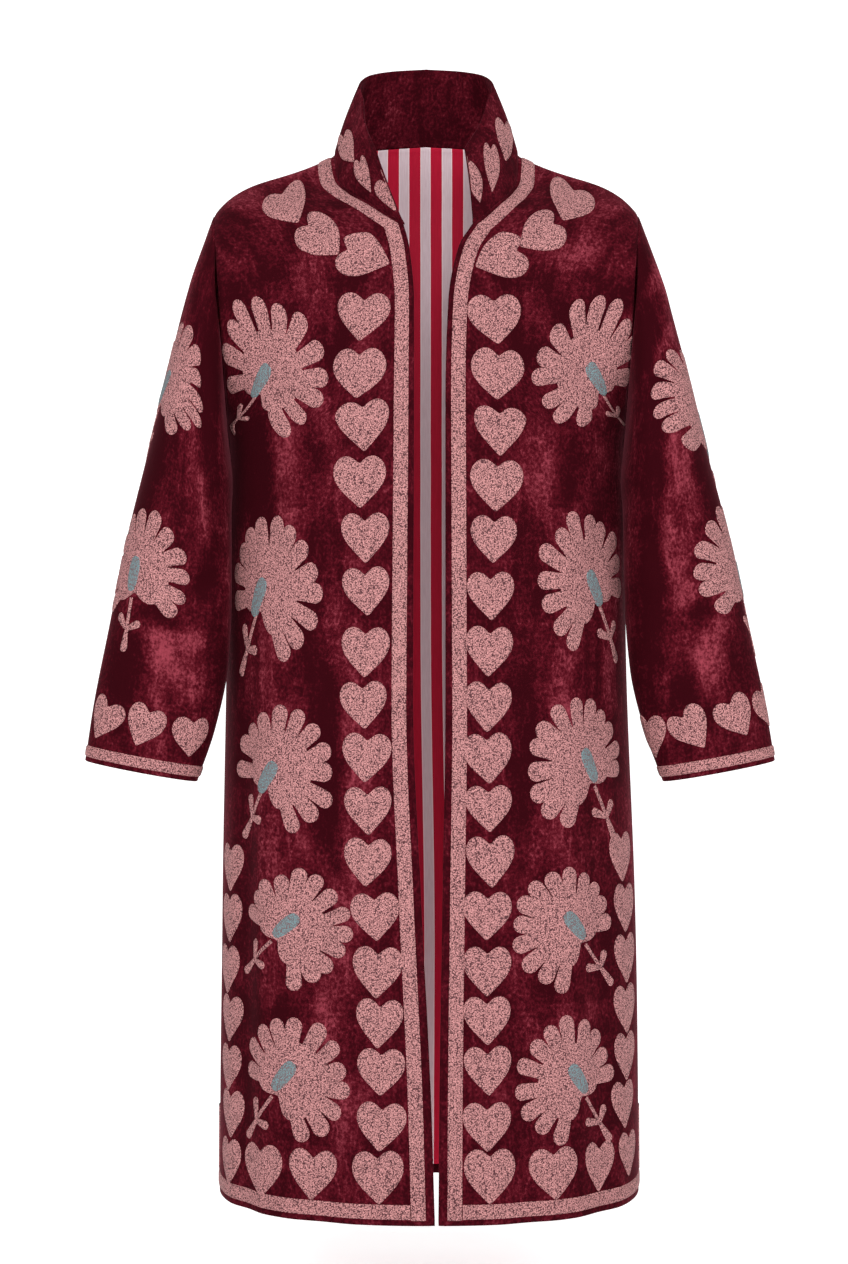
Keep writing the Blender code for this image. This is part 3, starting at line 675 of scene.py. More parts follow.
# Back
# The back is one width of the same velvet, cut whole from the hem to the neck and shoulder seams,
# rounded over the shoulder blades. Its sides are open for the last hand's breadth.
BACK_ACROSS = 54
BACK_UP = 66
NECK_FADE = 5.0
NECK_AT = 0.4074
BACK_STATION = 8.0
TOP_LINE_POWER = 1.6
BACK_CREASES = (
    (-0.180, -0.140, -0.095, -0.330, 0.017, 0.0024),
    (-0.070, -0.060, -0.150, -0.150, 0.014, 0.0014),
    (-0.060, -0.330, -0.072, -0.860, 0.019, 0.0026),
    (-0.165, -0.420, -0.178, -0.980, 0.017, 0.0022),
    (0.010, -0.480, 0.018, -1.050, 0.016, 0.0018),
    (0.176, -0.150, 0.100, -0.310, 0.016, 0.0022),
    (0.078, -0.055, 0.148, -0.160, 0.013, 0.0014),
    (0.082, -0.380, 0.088, -0.900, 0.018, 0.0024),
    (0.168, -0.520, 0.182, -1.040, 0.016, 0.0020),
    (-0.110, -0.760, -0.128, -1.070, 0.013, 0.0016),
)
# Patches of painted highlight and painted shade on the back, with the columns of the front's table
BACK_PAINTED_SHEEN = (
    (-0.200, -0.050, 0.030, 0.020, 0.3, 0.8),
    (0.196, -0.060, 0.030, 0.022, -0.3, 0.8),
    (-0.050, -0.200, 0.020, 0.090, 0.0, 0.8),
    (0.060, -0.260, 0.018, 0.080, 0.1, 0.7),
    (0.000, -0.520, 0.018, 0.120, 0.0, 0.8),
    (-0.185, -0.480, 0.018, 0.110, 0.0, 0.7),
    (0.180, -0.560, 0.018, 0.100, 0.0, 0.8),
    (0.012, -0.840, 0.018, 0.090, 0.0, 0.7),
    (-0.050, -0.960, 0.018, 0.080, 0.0, 0.6),
    (-0.020, -0.380, 0.022, 0.080, 0.0, -0.8),
    (0.040, -0.680, 0.018, 0.100, 0.0, -0.7),
    (-0.040, -0.760, 0.016, 0.090, 0.0, -0.7),
    (0.120, -0.120, 0.034, 0.040, 0.0, -0.6),
    (-0.130, -0.120, 0.034, 0.040, 0.0, -0.6),
)


def shoulder_seam(side, share):
    neck = neck_seam(side, SHOULDER_STATION)
    tip = armhole(False, side, 1.0)
    point = neck + (tip - neck) * share
    point[2] += SHOULDER_ROUND * shoulder_bulge(share)
    return point


def half_back(side):
    grid = []
    for z in SKIRT_LEVELS:
        inner = np.array([middle_x(z), body_size("back_y", z), z])
        outer = np.array([middle_x(z) + side * body_size("half_width", z), body_size("side_y", z), z])
        grid.append(body_row("back", side, inner, outer, 0.0, 0.0, z, BACK_ACROSS))
    base = grid[-1]
    across = np.linspace(0.0, 1.0, BACK_ACROSS)
    top = []
    for share in across:
        if share <= NECK_AT:
            part = share / NECK_AT
            top.append(neck_seam(side, BACK_STATION + (SHOULDER_STATION - BACK_STATION) * part))
        else:
            top.append(shoulder_seam(side, (share - NECK_AT) / (1.0 - NECK_AT)))
    top = np.array(top)
    plain = top.copy()
    plain[:, 0] = top[0, 0] + (top[-1, 0] - top[0, 0]) * np.sin(0.5 * math.pi * across)
    plain[:, 2] = top[0, 2] + (top[-1, 2] - top[0, 2]) * across ** TOP_LINE_POWER
    fall = (base[0, 1] - base[:, 1]) / (base[0, 1] - base[-1, 1])
    weight = across[:, None]
    for share in np.linspace(0.0, 1.0, BACK_UP + 1)[1:]:
        z = base[0, 2] + (top[0, 2] - base[0, 2]) * share
        middle = np.array([MIDDLE_X_TOP, body_size("back_y", z), z])
        straight_middle = base[0] + (top[0] - base[0]) * share
        side_point = armhole(False, side, share)
        straight_side = base[-1] + (top[-1] - base[-1]) * share
        row = base * (1.0 - share) + plain * share + (top - plain) * share ** NECK_FADE
        row = row + (middle - straight_middle) * (1.0 - weight) + (side_point - straight_side) * weight
        over = 1.0 - math.sqrt(max(0.0, 1.0 - share ** 2))
        row[:, 1] = middle[1] - (middle[1] - side_point[1]) * fall
        row[:, 1] += (top[:, 1] - top[0, 1] * (1.0 - fall)) * over
        grid.append(row)
    grid[-1] = top
    return np.array(grid)


back_grid = np.concatenate([half_back(-1)[:, ::-1], half_back(1)[:, 1:]], axis=1)
back, panels["back"] = make_shell("back_velvet", back_grid, INSIDE, False, VELVET_THICK,
                                  ("first", "last", "high"), BACK_CREASES, BACK_PAINTED_SHEEN, 1.0)
dress(back, [velvet], "velvet", "back")


# Sleeves
# Each sleeve is one piece of velvet with a seam underneath, set into the dropped armhole. It hangs
# a little away from the body and breaks into soft drag folds at the elbow.
SLEEVE_COLUMNS = ("share", "inner_x", "outer_x", "middle_y", "half_depth")
SLEEVE_TABLE = (
    (0.00, 0.2160, 0.2300, 0.005, 0.076),
    (0.10, 0.2140, 0.2540, -0.028, 0.068),
    (0.20, 0.2095, 0.2720, -0.042, 0.063),
    (0.35, 0.2080, 0.2965, -0.050, 0.060),
    (0.50, 0.2085, 0.3195, -0.052, 0.056),
    (0.68, 0.2130, 0.3395, -0.052, 0.050),
    (0.85, 0.2270, 0.3560, -0.050, 0.041),
    (1.00, 0.2470, 0.3660, -0.048, 0.036),
)
CUFF_INNER_Z = -0.6680
CUFF_TILT = 0.0225
ARMHOLE_TILT = 0.228
ARMHOLE_SPACE = 0.0009
SLEEVE_SWING = 0.004
SLEEVE_TUCK = {-1: 0.0045, 1: 0.0050}
TUCK_AT = 0.12
TUCK_REACH = 0.09
TILT_POWER = 2.2
ARMHOLE_SHAPE_REACH = 0.22
SLEEVE_RINGS = 96
SLEEVE_ROUND = 88

# Drag folds: side, share along it, turn round it in degrees, half sizes, depth, lean
SLEEVE_FOLDS = (
    (-1, 0.30, 50.0, 0.070, 46.0, 0.0040, 0.0012),
    (-1, 0.47, 40.0, 0.060, 50.0, 0.0045, 0.0016),
    (-1, 0.63, 55.0, 0.065, 52.0, 0.0035, -0.0012),
    (1, 0.34, 48.0, 0.065, 48.0, 0.0045, 0.0014),
    (1, 0.52, 42.0, 0.065, 52.0, 0.0040, 0.0010),
    (1, 0.68, 58.0, 0.070, 46.0, 0.0035, -0.0014),
    (-1, 0.40, 300.0, 0.080, 50.0, 0.0040, 0.0010),
    (1, 0.44, 305.0, 0.080, 50.0, 0.0040, -0.0010),
)
SLEEVE_CREASES = (
    (-0.222, -0.100, -0.238, -0.330, 0.011, 0.0026),
    (-0.246, -0.150, -0.222, -0.420, 0.012, 0.0024),
    (-0.222, -0.420, -0.262, -0.520, 0.012, 0.0030),
    (-0.232, -0.505, -0.300, -0.488, 0.010, 0.0020),
    (-0.250, -0.560, -0.278, -0.480, 0.011, 0.0022),
    (-0.262, -0.640, -0.270, -0.545, 0.010, 0.0016),
    (0.226, -0.110, 0.240, -0.300, 0.011, 0.0026),
    (0.254, -0.170, 0.232, -0.400, 0.012, 0.0024),
    (0.232, -0.400, 0.262, -0.520, 0.012, 0.0030),
    (0.244, -0.500, 0.312, -0.476, 0.010, 0.0020),
    (0.290, -0.440, 0.262, -0.590, 0.012, 0.0024),
    (0.270, -0.640, 0.292, -0.560, 0.010, 0.0016),
)
SLEEVE_BACK_CREASES = (
    (-0.244, -0.140, -0.262, -0.380, 0.012, 0.0024),
    (-0.228, -0.430, -0.290, -0.470, 0.012, 0.0026),
    (-0.246, -0.560, -0.306, -0.505, 0.011, 0.0020),
    (0.240, -0.130, 0.266, -0.360, 0.012, 0.0024),
    (0.236, -0.420, 0.296, -0.455, 0.012, 0.0026),
    (0.252, -0.570, 0.312, -0.520, 0.011, 0.0020),
)
# Patches of painted highlight and painted shade on the sleeves, with the columns of the front's table
SLEEVE_PAINTED_SHEEN = (
    (-0.246, -0.280, 0.010, 0.110, -0.10, 1.3),
    (-0.232, -0.390, 0.010, 0.050, 0.0, 0.8),
    (-0.262, -0.560, 0.020, 0.050, 0.2, 1.0),
    (-0.250, -0.480, 0.016, 0.040, 0.3, 0.7),
    (-0.252, -0.050, 0.020, 0.040, 0.0, 0.6),
    (-0.300, -0.345, 0.022, 0.070, 0.2, -1.0),
    (-0.222, -0.250, 0.008, 0.080, 0.0, -1.1),
    (-0.228, -0.470, 0.010, 0.060, 0.0, -1.0),
    (-0.320, -0.560, 0.016, 0.050, 0.2, -0.9),
    (0.258, -0.330, 0.012, 0.050, -0.3, 1.0),
    (0.238, -0.135, 0.008, 0.045, 0.45, 1.3),
    (0.236, -0.225, 0.007, 0.040, 0.55, 1.2),
    (0.250, -0.440, 0.012, 0.070, -0.2, 1.2),
    (0.290, -0.540, 0.018, 0.040, 0.0, 0.9),
    (0.250, -0.060, 0.016, 0.050, 0.0, 0.6),
    (0.225, -0.200, 0.010, 0.080, 0.0, -1.1),
    (0.232, -0.470, 0.010, 0.110, 0.0, -1.2),
    (0.300, -0.340, 0.020, 0.060, 0.0, -0.8),
    (0.270, -0.575, 0.018, 0.026, 0.0, -0.8),
)


def sleeve_size(name, share):
    return from_table(SLEEVE_TABLE, SLEEVE_COLUMNS, name, share)


def tuck(side, share):
    """How far a sleeve lies in against the body just below the underarm."""
    return SLEEVE_TUCK[side] * math.exp(-((share - TUCK_AT) / TUCK_REACH) ** 2)


def sleeve_ring(side, share, turns):
    """Ring of points round a sleeve; turns run in degrees from the underarm over the front."""
    angle = np.radians(turns)
    front = turns <= 180.0
    along = np.where(front, turns, 360.0 - turns) / 180.0
    start = armhole(front, side, along)
    if share == 0.0:
        start[:, 0] += side * ARMHOLE_SPACE
        return start
    inner_z = UNDERARM_Z + (CUFF_INNER_Z - UNDERARM_Z) * share
    tilt = CUFF_TILT + (ARMHOLE_TILT - CUFF_TILT) * (1.0 - share) ** TILT_POWER
    middle = MIDDLE_X_TOP + SLEEVE_SWING * share
    inner = np.array([middle + side * (sleeve_size("inner_x", share) - tuck(side, share)), 0.0, inner_z])
    outer = np.array([middle + side * sleeve_size("outer_x", share), 0.0, inner_z + tilt])
    centre = 0.5 * (inner + outer)
    ring = centre - 0.5 * (outer - inner) * np.cos(angle)[:, None]
    ring[:, 1] = sleeve_size("middle_y", share) - sleeve_size("half_depth", share) * np.sin(angle)
    low = armhole(True, side, 0.0)
    high = armhole(True, side, 1.0)
    plain = 0.5 * (low + high) - 0.5 * (high - low) * np.cos(angle)[:, None]
    plain[:, 1] = sleeve_size("middle_y", 0.0) - sleeve_size("half_depth", 0.0) * np.sin(angle)
    ring = ring + (start - plain) * (1.0 - ease(share / ARMHOLE_SHAPE_REACH))
    out = ring - centre
    out[:, 1] = ring[:, 1] - sleeve_size("middle_y", share)
    out /= np.linalg.norm(out, axis=1)[:, None]
    sink = np.zeros(len(turns))
    for fold_side, fold_at, fold_turn, half_share, half_turn, depth, lean in SLEEVE_FOLDS:
        if fold_side == side:
            off_turn = (turns - fold_turn + 180.0) % 360.0 - 180.0
            off_share = share - fold_at - lean * off_turn
            reach = np.minimum(1.0, np.hypot(off_share / half_share, off_turn / half_turn))
            sink += depth * (0.5 + 0.5 * np.cos(math.pi * reach))
    return ring - out * sink[:, None]


turns = np.arange(SLEEVE_ROUND) * 360.0 / SLEEVE_ROUND
for side_name, side in SIDES:
    name = "sleeve_" + side_name
    shares = np.linspace(0.0, 1.0, SLEEVE_RINGS + 1)[::-1]
    rings = np.array([sleeve_ring(side, share, turns) for share in shares])
    core = rings[len(rings) // 2].mean(axis=0)
    around = square_to(rings, True, core)
    folds_behind = crease_height(rings, around, SLEEVE_BACK_CREASES, 1.0)[0]
    rings = rings + around * folds_behind[:, :, None]
    thing, panels[name] = make_shell(name + "_velvet", rings, core, True, VELVET_THICK,
                                     ("high",), SLEEVE_CREASES, SLEEVE_PAINTED_SHEEN, -1.0)
    dress(thing, [velvet], "velvet", name)


# Collar
# A tall stand collar of two layers of velvet, stiffened, with its top edge rolled over. It leans
# in round the neck and its front ends run on from the front edges.
COLLAR_THICK = 0.0030
COLLAR_UP = 30
COLLAR_ROUND = 120
COLLAR_BULGE = 0.002
SEAM_ALLOWANCE = 0.016
TOP_SKEW = -0.0076
COLLAR_CORE = np.array([0.0, 0.0, 0.04])
# Patches of painted highlight on the collar, with the columns of the front's table
COLLAR_PAINTED_SHEEN = (
    (-0.070, 0.040, 0.010, 0.020, 0.0, 0.6),
    (0.062, 0.045, 0.010, 0.020, 0.0, 0.6),
)


def collar_top(side, station):
    skew = TOP_SKEW * (1.0 - ease(station / SHOULDER_STATION))
    x = MIDDLE_X_TOP + side * collar_size("top_x", station) + skew
    return np.array([x, collar_size("top_y", station), collar_size("top_z", station)])


half = np.linspace(0.0, BACK_STATION, COLLAR_ROUND // 2 + 1)
around = [(-1, station) for station in half] + [(1, station) for station in half[-2::-1]]
collar_grid = []
for row in range(COLLAR_UP + 1):
    share = -SEAM_ALLOWANCE + (1.0 + SEAM_ALLOWANCE) * row / COLLAR_UP
    line = []
    for side, station in around:
        low = neck_seam(side, station)
        high = collar_top(side, station)
        out = np.array([low[0] - MIDDLE_X_TOP, low[1], 0.0])
        out = out / np.linalg.norm(out)
        line.append(low + (high - low) * share + out * COLLAR_BULGE * math.sin(math.pi * share))
    collar_grid.append(line)
collar, panels["collar"] = make_shell("collar_velvet", np.array(collar_grid), COLLAR_CORE, False,
                                      COLLAR_THICK, ("low",), (), COLLAR_PAINTED_SHEEN, -1.0)
dress(collar, [velvet], "velvet", "collar")


# Lining
# A loose lining of thin plain-woven cloth in upright stripes of red and pale grey covers the body
# inside, felled to the neck seam and the front edges, and ends a finger's width above the hem.
LINING_LIFT = -0.0026
LINING_THICK = 0.0009
LINING_HEM = 0.0105

# Shallow waves across the lining: how many, depth, shift
LINING_WAVES = ((5.0, 0.0005, 0.4), (9.0, 0.0003, 1.9))

# Stripes: width of a red and a grey together, where they start, colours in the light and between
# the threads, and the pale line beside each red stripe
STRIPE_PAIR = 0.0240
STRIPE_START = 50.53
STRIPE_RED = (0.4700, 0.0060, 0.0330)
STRIPE_GREY = (0.6900, 0.5600, 0.5950)
STRIPE_RED_LOW = (0.3900, 0.0040, 0.0250)
STRIPE_GREY_LOW = (0.6000, 0.4500, 0.4900)
STRIPE_LINE = (0.9000, 0.7000, 0.7400)
RED_HALF = 0.235
RED_SOFTNESS = 0.009
LINE_AT = 0.222
LINE_FROM = 0.008
LINE_TO = 0.022

striped = Look("striped_lining", 0.62, 0.10)
split = striped.node("SeparateXYZ", {"Vector": striped.place("cloth")})
value = striped.sums("MULTIPLY", split.outputs["X"], 1.0 / STRIPE_PAIR)
value = striped.sums("FRACT", striped.sums("ADD", value, STRIPE_START))
value = striped.away(value, 0.5)
inside_red = striped.stepped(value, RED_HALF - RED_SOFTNESS, RED_HALF + RED_SOFTNESS)
shade = striped.stepped(striped.noise(900.0, 60.0, 2.0, 0.6), 0.2, 0.8)
colour = striped.mixed(inside_red, STRIPE_GREY, STRIPE_RED)
darker = striped.mixed(inside_red, STRIPE_GREY_LOW, STRIPE_RED_LOW)
colour = striped.mixed(shade, darker, colour)
edge = striped.stepped(striped.away(value, LINE_AT), LINE_FROM, LINE_TO)
colour = striped.mixed(edge, STRIPE_LINE, colour)
striped.give(striped.shader.inputs["Base Color"], colour)


def lining_shell(name, panel, first_row, node):
    """Thin cloth behind a panel of velvet."""
    grid = panel["grid"] + panel["normal"] * LINING_LIFT
    normal = panel["normal"]
    columns = grid.shape[1]
    wave = 0.0
    for count, depth, shift in LINING_WAVES:
        turns = np.linspace(0.0, count * 2.0 * math.pi, columns) + shift
        wave = wave - depth * (0.5 + 0.5 * np.sin(turns))
    grid = grid + normal * wave[None, :, None]
    grid = grid[first_row:]
    thing = make_shell(name, grid, INSIDE, False, LINING_THICK, (), (), (), 1.0)[0]
    dress(thing, [striped], "lining", node)
    return thing


skip = int(round(LINING_HEM / CELL))
for side_name, side in SIDES:
    thing = lining_shell("lining_" + side_name + "_cloth", panels["front_" + side_name], skip,
                         "lining_front_" + side_name)
thing = lining_shell("lining_back_cloth", panels["back"], skip, "lining_back")


# Border embroidery
# A band of close chain stitch runs round every open edge: neck, front edges, hem, vents and cuffs.
# It stands a little higher than the pile, with a strip of bare velvet left outside it.
BAND_HEIGHT = 0.0013
BAND_WIDTH = 0.0162
BAND_ACROSS = 8
BAND_EDGE_SINK = 0.0004
LINES_PER_CELL = 1.6

# Thread colours on top of a loop and in the gaps, and the sizes of rows, loops and their straying
THREAD_LIGHT = (0.4750, 0.2130, 0.2100)
THREAD_DARK = (0.0650, 0.0200, 0.0240)
TEAL_LIGHT = (0.1250, 0.2050, 0.2200)
TEAL_DARK = (0.1300, 0.0850, 0.0900)
STRAY_SIZE = 0.0069
STITCH_WIDE = 0.0036
LOOP_SIZE = 0.0014
STITCH_STRAY = 1.1
ROW_GAP = (0.34, 0.52)
ROW_GAP_DEPTH = 0.40
LOOP_GAP = (0.40, 0.72)
LOOP_DISORDER = 0.85
DULL_LOOP = 0.66
BRIGHT_LOOP = 1.12


def thread_look(name, light, dark):
    """Close stitching: small loops, each a little lighter or duller, with dark gaps between."""
    made = Look(name, 0.80, 0.20)
    flat = made.place("stitch")
    wander = made.node("TexNoise", {"Vector": flat, "Scale": 1.0 / STRAY_SIZE, "Detail": 2.0})
    stray = made.sums("MULTIPLY", wander.outputs["Fac"], STITCH_STRAY)
    split = made.node("SeparateXYZ", {"Vector": flat})
    row = made.sums("ADD", made.sums("MULTIPLY", split.outputs["Y"], 1.0 / STITCH_WIDE), stray)
    row_gap = made.stepped(made.away(made.sums("FRACT", row), 0.5), *ROW_GAP)
    solid = made.node("TexCoord", {})
    loops = made.node("TexVoronoi", {"Vector": solid.outputs["Object"], "Scale": 1.0 / LOOP_SIZE,
                                     "Randomness": LOOP_DISORDER})
    loop_gap = made.stepped(loops.outputs["Distance"], *LOOP_GAP)
    gap = made.sums("MAXIMUM", made.sums("MULTIPLY", row_gap, ROW_GAP_DEPTH), loop_gap)
    each = made.node("SeparateColor", {"Color": loops.outputs["Color"]})
    dull = tuple(DULL_LOOP * a + (1.0 - DULL_LOOP) * b for a, b in zip(light, dark))
    bright = tuple(min(1.0, BRIGHT_LOOP * a) for a in light)
    top = made.mixed(each.outputs["Red"], dull, bright)
    made.give(made.shader.inputs["Base Color"], made.mixed(gap, top, dark))
    made.relief(gap, 0.60, 0.0006, True)
    return made


pink_thread = thread_look("dusty_pink_thread", THREAD_LIGHT, THREAD_DARK)
teal_thread = thread_look("teal_thread", TEAL_LIGHT, TEAL_DARK)


def on_cloth(panel, rows, columns, what):
    """Points or directions of a panel at places between its rows and columns."""
    grid = panel[what]
    count = grid.shape[1]
    rows = np.clip(rows, 0.0, grid.shape[0] - 1.001)
    i = rows.astype(int)
    a = (rows - i)[..., None]
    if panel["closed"]:
        columns = np.mod(columns, count)
    else:
        columns = np.clip(columns, 0.0, count - 1.001)
    j = columns.astype(int)
    b = (columns - j)[..., None]
    k = (j + 1) % count
    low = grid[i, j] * (1.0 - b) + grid[i, k] * b
    high = grid[i + 1, j] * (1.0 - b) + grid[i + 1, k] * b
    return low * (1.0 - a) + high * a


class Stitching:
    """Raised pads of thread, gathered into one piece."""

    def __init__(self):
        self.points = []
        self.faces = []
        self.uvs = []
        self.kinds = []
        self.count = 0

    def add(self, points, faces, uvs, kind=0):
        self.points.append(points)
        self.faces += [[k + self.count for k in face] for face in faces]
        self.uvs += [[tuple(uvs[k]) for k in face] for face in faces]
        self.kinds += [kind] * len(faces)
        self.count += len(points)

    def finish(self, name, looks, *stands_for):
        mesh = bpy.data.meshes.new(name)
        mesh.from_pydata(np.concatenate(self.points).tolist(), [], self.faces)
        layer = mesh.uv_layers.new(name="stitch")
        values = np.array([uv for face in self.uvs for uv in face], dtype=np.float32)
        layer.data.foreach_set("uv", values.ravel())
        mesh.polygons.foreach_set("material_index", np.array(self.kinds, dtype=np.int32))
        mesh.shade_smooth()
        mesh.update()
        dress(placed(name, mesh), looks, "embroidery", *stands_for)


def facing_out(points, faces, test, out):
    """The faces, turned over if one of them points away from the given direction."""
    a, b, c, d = points[test]
    if np.dot(np.cross(b - a, d - a), out) < 0.0:
        return [face[::-1] for face in faces]
    return faces


def band(stitching, panel, rows, columns, shift):
    """Band whose points lie at given rows and columns of a panel, in lines across it."""
    rows, columns = np.broadcast_arrays(rows, columns)
    lines, count = rows.shape
    across = np.linspace(-1.0, 1.0, count)
    height = BAND_HEIGHT * (1.0 - np.abs(across) ** 5) - BAND_EDGE_SINK * (np.abs(across) > 0.99)
    base = on_cloth(panel, rows, columns, "grid")
    normals = on_cloth(panel, rows, columns, "normal")
    points = (base + normals * height[None, :, None]).reshape(-1, 3)
    run = run_along(base[:, count // 2])
    beside = across[None, :] * 0.5 * BAND_WIDTH
    uvs = np.stack(np.broadcast_arrays(run[:, None] + shift, beside), axis=2)
    faces = [[i * count + j, i * count + j + 1, (i + 1) * count + j + 1, (i + 1) * count + j]
             for i in range(lines - 1) for j in range(count - 1)]
    test = faces[len(faces) // 2]
    faces = facing_out(points, faces, test, normals.reshape(-1, 3)[test[0]])
    stitching.add(points, faces, uvs.reshape(-1, 2))


def row_lengths(panel):
    return steps_between(panel["grid"], 1, False).sum(axis=1)


def edge_band(stitching, panel, first_row, last_row, from_last, gap_low, gap_high, shift):
    """Band beside the inner or outer edge of a panel, from one row to another."""
    lines = np.linspace(first_row, last_row, int(abs(last_row - first_row) * LINES_PER_CELL) + 2)
    lengths = np.interp(lines, np.arange(len(panel["grid"])), row_lengths(panel))
    count = panel["grid"].shape[1]
    share = (lines - lines[0]) / max(1.0e-9, lines[-1] - lines[0])
    gap = gap_low + (gap_high - gap_low) * share
    across = np.linspace(0.0, 1.0, BAND_ACROSS + 1)
    distance = gap[:, None] + BAND_WIDTH * across[None, :]
    columns = distance / lengths[:, None] * (count - 1)
    if from_last:
        columns = count - 1 - columns
    band(stitching, panel, lines[:, None], columns, shift)


def cross_band(stitching, panel, row_low, row_high, first_column, last_column, shift):
    """Band along a row of a panel, from one column to another."""
    count = int(abs(last_column - first_column) * LINES_PER_CELL) + 2
    lines = np.linspace(first_column, last_column, count)
    rows = np.linspace(row_low, row_high, BAND_ACROSS + 1)
    band(stitching, panel, rows[None, :], lines[:, None], shift)


# How far the bands keep from the edges, and the row at which the hem's width is taken
HEM_BAND_LOW = 0.0050
VENT_BAND = 0.0900
SIDE_GAP = 0.0045
NECK_GAP = 0.0030
FRONT_GAP = 0.0078
CUFF_GAP = 0.0052
HEM_ROW = 3
NECK_LINES = 130

low = HEM_BAND_LOW / CELL
high = low + BAND_WIDTH / CELL
vent = VENT_BAND / CELL
for side_name, side in SIDES:
    panel = panels["front_" + side_name]
    stitching = Stitching()
    columns = panel["grid"].shape[1] - 1
    per_metre = columns / row_lengths(panel)[HEM_ROW]
    edge_band(stitching, panel, low, len(panel["grid"]) - 1, False, FRONT_GAP, NECK_GAP, 0.0)
    inner = (FRONT_GAP + BAND_WIDTH) * per_metre
    cross_band(stitching, panel, low, high, inner, columns - SIDE_GAP * per_metre, 0.3)
    edge_band(stitching, panel, high, vent, True, SIDE_GAP, SIDE_GAP, 0.7)
    stitching.finish("band_front_" + side_name, [pink_thread], "border_front_" + side_name)

panel = panels["back"]
stitching = Stitching()
columns = panel["grid"].shape[1] - 1
inner = SIDE_GAP * columns / row_lengths(panel)[HEM_ROW]
cross_band(stitching, panel, low, high, inner, columns - inner, 0.1)
for from_last in (False, True):
    edge_band(stitching, panel, high, vent, from_last, SIDE_GAP, SIDE_GAP, 0.5)
stitching.finish("band_back_hem", [pink_thread], "border_back_hem")

stitching = Stitching()
neck_columns = NECK_AT * (BACK_ACROSS - 1)
lines = np.linspace(columns // 2 - neck_columns, columns // 2 + neck_columns, NECK_LINES)
heights = distances(panel["grid"], 0)
wanted = NECK_GAP + BAND_WIDTH * np.linspace(0.0, 1.0, BAND_ACROSS + 1)
rows = np.zeros((NECK_LINES, BAND_ACROSS + 1))
for n, place in enumerate(lines):
    j = int(min(place, columns - 1))
    from_top = heights[-1, j] - heights[:, j]
    rows[n] = np.interp(wanted, from_top[::-1], np.arange(len(heights) - 1, -1, -1))
band(stitching, panel, rows, lines[:, None], 0.0)
stitching.finish("band_back_neck", [pink_thread], "border_back_neck")

for side_name, side in SIDES:
    panel = panels["sleeve_" + side_name]
    stitching = Stitching()
    lines = np.linspace(0.0, SLEEVE_ROUND, 2 * SLEEVE_ROUND + 1)
    rows = np.linspace(CUFF_GAP, CUFF_GAP + BAND_WIDTH, BAND_ACROSS + 1)
    rows = rows / (panel["length"] / SLEEVE_RINGS)
    band(stitching, panel, rows[None, :], lines[:, None], 0.0)
    stitching.finish("band_cuff_" + side_name, [pink_thread], "border_cuff_" + side_name)


# Hearts
# Rows of hearts are filled with rings of the same chain stitch: down beside the front edges, along
# the hem and the side seams, over the shoulders, round the cuffs and on the collar.
PAD_HEIGHT = 0.0011
PAD_EDGE = 0.0013
PAD_SINK = 0.0005
RING_STEP = 0.006

# Rows and columns on each side of a place over which the cloth's slope is taken
NEAR = 2.0

# Where the eye stands that sees the coat as in the photograph; the camera stands there too
EYE = np.array([-0.0054, -2.80, -0.510])


def seen_at(names, x, z, behind=False):
    """Panel, row and column that the eye sees at x and z in the plane of the coat's middle."""
    eye = EYE * np.array([1.0, -1.0 if behind else 1.0, 1.0])
    direction = np.array([x, 0.0, z]) - eye
    direction /= np.linalg.norm(direction)
    best = None
    for name in names:
        panel = panels[name]
        hit, _, index, distance = panel["tree"].ray_cast(Vector(eye), Vector(direction))
        if hit is not None and (best is None or distance < best[0]):
            best = (distance, name, index, hit)
    if best is None:
        for name in names:
            hit, _, index, distance = panels[name]["tree"].find_nearest(Vector((x, 0.0, z)))
            if best is None or distance < best[0]:
                best = (distance, name, index, hit)
    panel = panels[best[1]]
    i, j = divmod(best[2], panel["last"])
    k = (j + 1) % panel["grid"].shape[1]
    corner = panel["grid"][i, j]
    edges = np.stack([panel["grid"][i + 1, j] - corner, panel["grid"][i, k] - corner], axis=1)
    part = np.linalg.lstsq(edges, np.array(best[3]) - corner, rcond=None)[0]
    return panel, i + float(np.clip(part[0], 0, 1)), j + float(np.clip(part[1], 0, 1))


def laid_out(spot, flat):
    """Rows and columns of a shape drawn flat, turned, stretched and laid on the cloth."""
    panel, row, column, turn, wide, tall, aside = spot
    low = max(0.0, row - NEAR)
    high = min(len(panel["grid"]) - 1.0, row + NEAR)
    left = column - NEAR
    right = column + NEAR
    if not panel["closed"]:
        left = max(0.0, left)
        right = min(panel["grid"].shape[1] - 1.0, right)
    rows = np.array([low, high, row, row])
    columns = np.array([column, column, left, right])
    corners = on_cloth(panel, rows, columns, "grid")
    per_row = (corners[1] - corners[0]) / (high - low)
    per_column = (corners[3] - corners[2]) / (right - left)
    normal = on_cloth(panel, np.array([row]), np.array([column]), "normal")[0]
    up = np.array([0.0, 0.0, 1.0]) - normal * normal[2]
    up /= np.linalg.norm(up)
    across = np.cross(up, normal)
    steps = np.array([[per_column @ across, per_row @ across], [per_column @ up, per_row @ up]])
    angle = math.radians(turn)
    s = flat[:, 0] * math.cos(angle) - flat[:, 1] * math.sin(angle)
    t = flat[:, 0] * math.sin(angle) + flat[:, 1] * math.cos(angle)
    moved = np.linalg.solve(steps, np.stack([s * wide + aside, t * tall]))
    return row + moved[1], column + moved[0]


